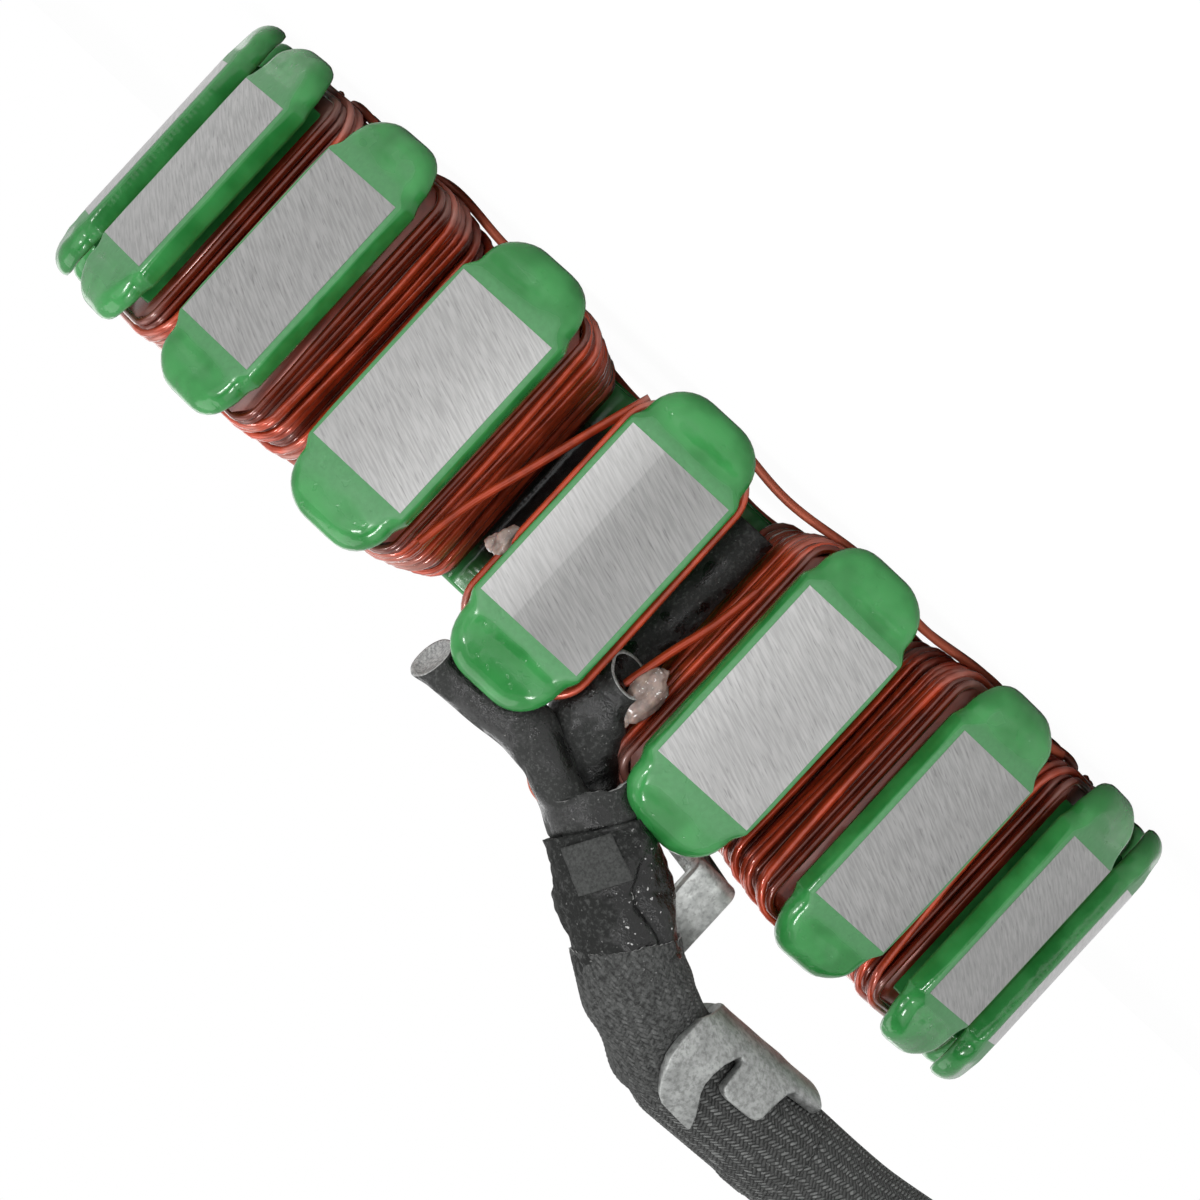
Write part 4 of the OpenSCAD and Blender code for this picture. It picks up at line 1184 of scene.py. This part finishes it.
class STATOR_OT_bracket(bpy.types.Operator):
    """Fold the clamp bracket from its flat pattern and finish its screw"""

    bl_idname = "stator.bracket"
    bl_label = "Clamp bracket"

    def execute(self, context):
        zinc = zinc_plate()
        bm = bmesh.new()
        self.straps(bm)
        self.arm(bm)
        self.foot(bm)
        finish_piece("bracket", bm, [zinc], ["clamp_bracket"])
        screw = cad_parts["bracket_screw"].data
        screw.materials.clear()
        screw.materials.append(zinc)
        return {"FINISHED"}

    def straps(self, bm):
        """The flat pattern with soft edges, cut into strips and bent round the sleeve, and the plate behind it."""
        thick = sizes().strip_t / MM
        arc = pi * (GRIP_R + thick / 2) / 180
        plate_top = -180 - 2.5 / arc
        outline = [(4.5, plate_top), (-ARM_HALF_W, -183), (-ARM_HALF_W, -181), *STRAP_PATTERN, (TROUGH_END, plate_top)]
        add_prism(bm, [(s, a * arc, 0) for s, a in outline], (0, 0, thick))
        face_out(bm, bm.faces[:])
        rims = [e for e in bm.edges if abs(e.verts[0].co.z - e.verts[1].co.z) < 1e-6]
        soften(bm, rims, 0.14, 2)
        cuts = [((0, 1, 0), a * arc) for a in range(-186, 36, 6)] + [((1, 0, 0), s) for s in range(2, 16, 2)]
        for normal, value in cuts:
            cut_through(bm, bm.verts[:] + bm.edges[:] + bm.faces[:], normal, value)
        for vert in bm.verts:
            s, turn, height = vert.co.x, vert.co.y / arc, vert.co.z
            r = GRIP_R + height
            if turn < -180:
                out, rise = -r, (-180 - turn) * arc
            else:
                # The strap tips press into the sleeve a little and stand proud at their edges
                r += 0.18 * noise.noise(Vector((s * 0.5, turn * 0.03, 3.0)))
                out, rise = r * cos(radians(turn)), r * sin(radians(turn))
            vert.co = (grip_point(s) + out * CLAMP_OUT + Vector((0, 0, rise))) * MM
        # The bend turns the sheet inside out
        bmesh.ops.reverse_faces(bm, faces=bm.faces[:])

    def arm(self, bm):
        """The folded strip from the foot to the plate, bent round small radii."""
        thick = sizes().strip_t / MM
        step_z, bend = COIL_TOP + 0.6, 0.6
        corners = [Vector(p) for p in (
            (23.0, 24.5), (32.0, 24.5), (32.0, step_z), (ARM_R, step_z), (ARM_R, CLAMP_Z + 0.1))]
        line = [corners[0]]
        for a, b, c in zip(corners, corners[1:], corners[2:]):
            into, out = (b - a).normalized(), (c - b).normalized()
            for n in range(7):
                t = n / 6
                line.append((b - bend * into) * (1 - t) ** 2 + b * 2 * t * (1 - t) + (b + bend * out) * t * t)
        line.append(corners[-1])
        left, right = [], []
        for i, p in enumerate(line):
            along = (line[min(i + 1, len(line) - 1)] - line[max(i - 1, 0)]).normalized()
            side = Vector((-along.y, along.x)) * thick / 2
            left.append(p + side)
            right.append(p - side)
        before = set(bm.verts)
        add_prism(bm, [(p.x, -ARM_HALF_W, p.y) for p in left + right[::-1]], (0, 2 * ARM_HALF_W, 0))
        whole = verts_past(bm, before)
        face_out(bm, faces_of(whole))
        soften(bm, [e for e in edges_of(whole) if abs(e.verts[0].co.y - e.verts[1].co.y) < 1e-6], 0.13, 2)
        turn = Matrix.Rotation(radians(CLAMP_TURN), 4, "Z")
        bmesh.ops.transform(bm, matrix=TO_METRES @ turn, verts=verts_past(bm, before))

    def foot(self, bm):
        """The round foot under the screw."""
        profile = [
            (CLAMP_HOLE_R, 0.0), (4.35, 0.0), (4.5, 0.15), (4.5, 0.85), (4.35, 1.0), (2.3, 1.0),
            (CLAMP_HOLE_R, 0.85), (CLAMP_HOLE_R, 0.0)]
        lathe(bm, profile, TO_METRES @ Matrix.Translation(HOLES_R * CLAMP_OUT + Vector((0, 0, 24.0))), 56)


# The braided lead and its connector

# Strands round the sleeve, and the length of one crossing in mm
STRANDS = 56
CELL = 0.42
# Where the held stretch ends along the clamp, the height of the lead on the floor and the plug's place
HELD_END = 17.8
LEAD_Z = 4.7
PLUG_Y, PLUG_Z = 58, 6.5


def weave_height(u, v, turns, rows):
    """Height of the braid, the same pattern as its material."""
    right, left = u * turns + v * rows, u * turns - v * rows
    lie = (floor(right) + floor(left)) % 4
    if lie < 2:
        return sin(pi * (right % 1)) * (0.4 + 0.6 * sin(pi * (lie + left % 1) / 2))
    return sin(pi * (left % 1)) * (0.4 + 0.6 * sin(pi * (lie - 2 + right % 1) / 2))


def held_route():
    start, into = COLLAR + LEAN + (BUNDLE_L - 1.5) * BUNDLE_DIR, grip_point(5)
    a, b = start + 3.4 * BUNDLE_DIR, into - 3.4 * CLAMP_DIR
    points = []
    for n in range(41):
        t = n / 40
        points.append((1 - t) ** 3 * start + 3 * t * (1 - t) ** 2 * a + 3 * t * t * (1 - t) * b + t ** 3 * into)
    return points + [grip_point(s) for s in (6.5, 8, 10, 12, 14, 16, HELD_END)]


def free_route():
    start, bend_r = grip_point(HELD_END), 40
    route = [
        start, start + 11 * CLAMP_DIR, (-62, -25, 37.6), (-74, -22.6, 33), (-88, -22, 24), (-102, -22, 14.5),
        (-116, -22, 8), (-130, -22, 5.2), (-148, -22, LEAD_Z)]
    for n in range(10):
        a = radians(20 * n)
        route.append((-165 - bend_r * sin(a), -22 + bend_r * (1 - cos(a)), LEAD_Z))
    route.append((-144, PLUG_Y, LEAD_Z))
    return curve_through(route, 240)


class STATOR_OT_lead(bpy.types.Operator):
    """Model the braided lead, its wires and its connector"""

    bl_idname = "stator.lead"
    bl_label = "Braided lead"

    def execute(self, context):
        self.held()
        free, points = self.free()
        ends = [self.wires(), self.housing(), self.blades()]
        length = sum((b - a).length for a, b in zip(points, points[1:]))
        [tuple(p) for p in points[::4]]
        return {"FINISHED"}

    def held(self):
        """The stretch in the clamp, woven in relief, with a frayed lip over the bundle."""
        path = Path(metres(held_route()))
        rows = round(path.length / MM / CELL)
        mouth_l = 2.2 * MM / path.length
        clamp_from = 1 - (HELD_END + 0.5) * MM / path.length
        radius = sizes().sleeve_d / 2

        def girth(u, v):
            lip = -0.22 * MM * smoothstep(2 * mouth_l, 0, v) * (1 + 0.6 * rough(u, 0, 2.0, 1.0, 2, 1))
            crease = rough(u, v, 12.0, 0.34 * MM, 1.2, 7) * (1 - smoothstep(clamp_from - 0.05, clamp_from + 0.02, v))
            free = 0.16 * MM * smoothstep(0.86, 0.92, v)
            relief = (0.03 + 0.05 * smoothstep(clamp_from - 0.1, clamp_from, v)) * MM
            relief *= weave_height(u, v, STRANDS, rows) - 0.7
            # Drawn in on one side before the clamp and beside its first strap
            s = (v - 1) * path.length / MM + HELD_END
            left = 0.5 + 0.5 * sin(2 * pi * u)
            bulge = -0.75 * exp(-((s - 0.3) / 2.4) ** 2) - 0.40 * exp(-((s - 4.2) / 0.9) ** 2)
            return radius - 0.10 * MM + lip + crease + free + relief + left * bulge * MM

        def fray(u, v):
            edge = 0.5 * sin(2 * pi * u) + 0.5 * rough(u, 0, 6.0, 1.0, 1.4, 1)
            edge += 0.2 * rough(u, 0, 1.0, 1.0, 9, 1)
            return -(1 - smoothstep(0, 2.5 * mouth_l, v)) * edge * MM

        bm = bmesh.new()
        verts = rolled_sheet(bm, path, 230, 260, girth, slide=fray, caps=(False, True))
        open_end(bm, verts, path.points[0], path.along[0], 0.95, 0.4 * MM, 1, 0)
        braid = braided_sleeve("braid_held", STRANDS, rows, clamp_from + 0.1)
        finish_piece(
            "braid_held", bm, [braid, bpy.data.materials["cut_fibre"]], ["braided_sleeve_held"])

    def free(self):
        points = metres(free_route())
        path = Path(points)
        rows = round(path.length / MM / CELL)
        radius = sizes().sleeve_d / 2
        bm = bmesh.new()
        rolled_sheet(
            bm, path, 64, 420, lambda u, v: radius - 0.05 * MM + rough(u, v, 3.0, 0.10 * MM, 1.2, 40))
        braid = braided_sleeve("braid_free", STRANDS, rows, -0.3)
        piece = finish_piece("braid_free", bm, [braid], ["braided_sleeve_free"])
        return piece, points

    def wires(self):
        bm = bmesh.new()
        for i in (-1, 0, 1):
            points = metres([(-145.0 + n, PLUG_Y + 3.2 * i, LEAD_Z) for n in range(12)])
            add_wires(bm, [(points, False)], 2.6 * MM, 6)
        plastic = moulded_plastic("wire_insulation", (0.028, 0.028, 0.029))
        return finish_piece("lead_wire_runs", bm, [plastic], ["lead_wires"])

    def housing(self):
        """A three-way blade housing with a latch, grip ribs and a hollow mouth."""
        bm = bmesh.new()
        made = bmesh.ops.create_cube(bm, size=1)["verts"]
        bmesh.ops.scale(bm, vec=(28, 24, 13), verts=made)
        front = [f for f in bm.faces if f.calc_center_median().x > 13.9]
        bmesh.ops.inset_region(bm, faces=front, thickness=1.6)
        mouth = of_kind(bmesh.ops.extrude_face_region(bm, geom=front)["geom"], BMVert)
        bmesh.ops.delete(bm, geom=front, context="FACES_ONLY")
        bmesh.ops.translate(bm, vec=(-20, 0, 0), verts=mouth)
        face_out(bm, bm.faces[:])
        soften(bm, bm.edges[:], 0.45, 3)
        for x in range(-12, -3, 2):
            for side in (-1, 1):
                add_box(bm, Matrix.Translation((x, side * 11.9, 0)), (0.9, 0.8, 9), 0.2)
        latch = [(-6, 6.4), (2, 6.4), (2, 6.9), (-5, 8.1), (-6, 8.1)]
        add_prism(bm, [(x, -3, z) for x, z in latch], (0, 6, 0))
        face_out(bm, bm.faces[:])
        bmesh.ops.transform(bm, matrix=TO_METRES @ Matrix.Translation((-120, PLUG_Y, PLUG_Z)), verts=bm.verts[:])
        plastic = moulded_plastic("connector_plastic", (0.022, 0.022, 0.023))
        return finish_piece(
            "plug_housing", bm, [plastic], ["connector_housing"], smooth=False)

    def blades(self):
        """Flat blade terminals with pointed tips."""
        bm = bmesh.new()
        outline = [(-7, -2.35), (5.6, -2.35), (7, -1.2), (7, 1.2), (5.6, 2.35), (-7, 2.35)]
        for i in (-1, 0, 1):
            verts = add_prism(bm, [(x, y, -0.35) for x, y in outline], (0, 0, 0.7))
            place = Matrix.Translation((-126.9, PLUG_Y + 7 * i, PLUG_Z))
            bmesh.ops.transform(bm, matrix=TO_METRES @ place, verts=verts)
        face_out(bm, bm.faces[:])
        brass = plain_steel("tinned_brass", (0.66, 0.58, 0.38), 0.3)
        return finish_piece("blades", bm, [brass], ["connector_blades"], smooth=False)


# Soft boxes: name, place, size and the brightness of their faces, with white as 1
SOFT_BOXES = (
    ("soft_box_near", (0.19, -1.05, 0.30), (0.24, 0.60), 1.15),
    ("soft_box_plus", (0.80, -0.75, 0.50), (0.70, 0.70), 0.8),
    ("soft_box_minus", (-0.80, -0.75, 0.50), (0.70, 0.70), 0.75),
    ("soft_box_top", (0.0, -0.10, 0.95), (0.9, 0.7), 1.6),
    ("soft_box_back", (0.1, 0.95, 0.55), (0.9, 0.5), 1.2),
    ("spark_plus", (0.42, -0.95, 0.42), (0.16, 0.16), 36),
    ("spark_minus", (-0.40, -0.95, 0.46), (0.16, 0.16), 36),
)


class STATOR_OT_stage(bpy.types.Operator):
    """Set the camera, the lights, the white room and the floor"""

    bl_idname = "stator.stage"
    bl_label = "Stage"

    def execute(self, context):
        scene = context.scene
        scene.view_settings.view_transform = "Standard"
        self.camera(scene)
        self.world(scene)
        self.floor(scene)
        for box in SOFT_BOXES:
            self.soft_box(*box)
        self.grey_card(scene)
        return {"FINISHED"}

    def camera(self, scene):
        """The photograph's own view, rolled so that the lead side points down to the left."""
        data = bpy.data.cameras.new("view")
        data.sensor_width = 36
        data.lens = 155.49
        data.clip_start, data.clip_end = 0.01, 20
        camera = bpy.data.objects.new("view", data)
        scene.collection.objects.link(camera)
        right = Vector((-0.73648, 0.00747, -0.67642))
        look = Vector((0.00297, 0.99997, 0.00780))
        up = right.cross(look)
        turn = Matrix((right, up, -look)).transposed().to_4x4()
        camera.matrix_world = Matrix.Translation(Vector((-3.489, -443.357, 13.713)) * MM) @ turn
        scene.camera = camera

    def world(self, scene):
        world = bpy.data.worlds.new("white_room")
        scene.world = world
        world.use_nodes = True
        tree = world.node_tree
        background = tree.nodes["Background"]
        path = tree.nodes.new("ShaderNodeLightPath")
        level = tree.nodes.new("ShaderNodeMapRange")
        tree.links.new(path.outputs["Is Camera Ray"], level.inputs["Value"])
        level.inputs["To Min"].default_value = 0.69
        level.inputs["To Max"].default_value = 1.0
        tree.links.new(level.outputs["Result"], background.inputs["Strength"])
        background.inputs["Color"].default_value = (1, 1, 1, 1)

    def floor(self, scene):
        """A white floor that shows white to the camera and keeps a faint shadow."""
        f = Finish("white_floor")
        camera_ray = f.node("LightPath").outputs["Is Camera Ray"]
        glow = f.feed(f.node("Emission"), Strength=1.0)
        mix = f.node("MixShader")
        shaders = f.times(camera_ray, 0.97), f.shader.outputs["BSDF"], glow.outputs["Emission"]
        for socket, value in zip(mix.inputs, shaders):
            f.put(socket, value)
        f.feed(f.tree.nodes["Material Output"], Surface=mix.outputs["Shader"])
        f.set(Base_Color=f.mottle(f.noise(60), (1, 1, 1), 0.86, 0.9), Roughness=0.9)
        self.sheet(scene, "floor", f.material, Matrix.Scale(8, 4))

    def grey_card(self, scene):
        """A dark card behind the camera, which the middle pole face mirrors."""
        f = Finish("grey_card")
        f.set(Base_Color=f.mottle(f.noise(40), (1, 1, 1), 0.10, 0.13), Roughness=0.9)
        upright = Matrix.Rotation(radians(90), 4, "X") @ Matrix.Diagonal((0.27, 0.9, 1, 1))
        card = self.sheet(scene, "grey_card", f.material, Matrix.Translation((-0.035, -0.9, 0.46)) @ upright)
        card.visible_camera = False

    def sheet(self, scene, name, material, matrix):
        """A square of one metre, placed by a matrix, that belongs to the stage."""
        bm = bmesh.new()
        bmesh.ops.create_grid(bm, x_segments=1, y_segments=1, size=0.5, matrix=matrix)
        mesh = bpy.data.meshes.new(name)
        bm.to_mesh(mesh)
        bm.free()
        mesh.materials.append(material)
        sheet = bpy.data.objects.new(name, mesh)
        scene.collection.objects.link(sheet)
        return sheet

    def soft_box(self, name, place, size, bright):
        data = bpy.data.lights.new(name, "AREA")
        data.shape = "RECTANGLE"
        data.size, data.size_y = size
        data.energy = bright * pi * size[0] * size[1]
        lamp = bpy.data.objects.new(name, data)
        bpy.context.scene.collection.objects.link(lamp)
        aim = Vector((0, 0, MID_Z * MM)) - Vector(place)
        lamp.matrix_world = Matrix.Translation(place) @ aim.to_track_quat("-Z", "Y").to_matrix().to_4x4()


OPERATORS = (
    STATOR_OT_stage,
    STATOR_OT_core,
    STATOR_OT_rivets,
    STATOR_OT_coils,
    STATOR_OT_wires,
    STATOR_OT_sleeves,
    STATOR_OT_resin,
    STATOR_OT_bracket,
    STATOR_OT_lead,
)


class STATOR_PT_looks(bpy.types.Panel):
    """Panel with the stator's pieces in order"""

    bl_idname = "STATOR_PT_looks"
    bl_label = "Wound stator"
    bl_space_type = "VIEW_3D"
    bl_region_type = "UI"
    bl_category = "Stator"

    def draw(self, context):
        for operator in OPERATORS:
            self.layout.operator(operator.bl_idname)
        for group in (context.scene.stator_sizes, context.scene.stator_colours):
            for name in group.__annotations__:
                self.layout.prop(group, name)


CLASSES = (StatorSizes, StatorColours, *OPERATORS, STATOR_PT_looks)


def register():
    for cls in CLASSES:
        bpy.utils.register_class(cls)
    bpy.types.Scene.stator_sizes = bpy.props.PointerProperty(type=StatorSizes)
    bpy.types.Scene.stator_colours = bpy.props.PointerProperty(type=StatorColours)


def unregister():
    del bpy.types.Scene.stator_colours
    del bpy.types.Scene.stator_sizes
    for cls in reversed(CLASSES):
        bpy.utils.unregister_class(cls)


def main():
    register()
    for operator in OPERATORS:
        family, name = operator.bl_idname.split(".")
        getattr(getattr(bpy.ops, family), name)()


if __name__ == "__main__":
    main()
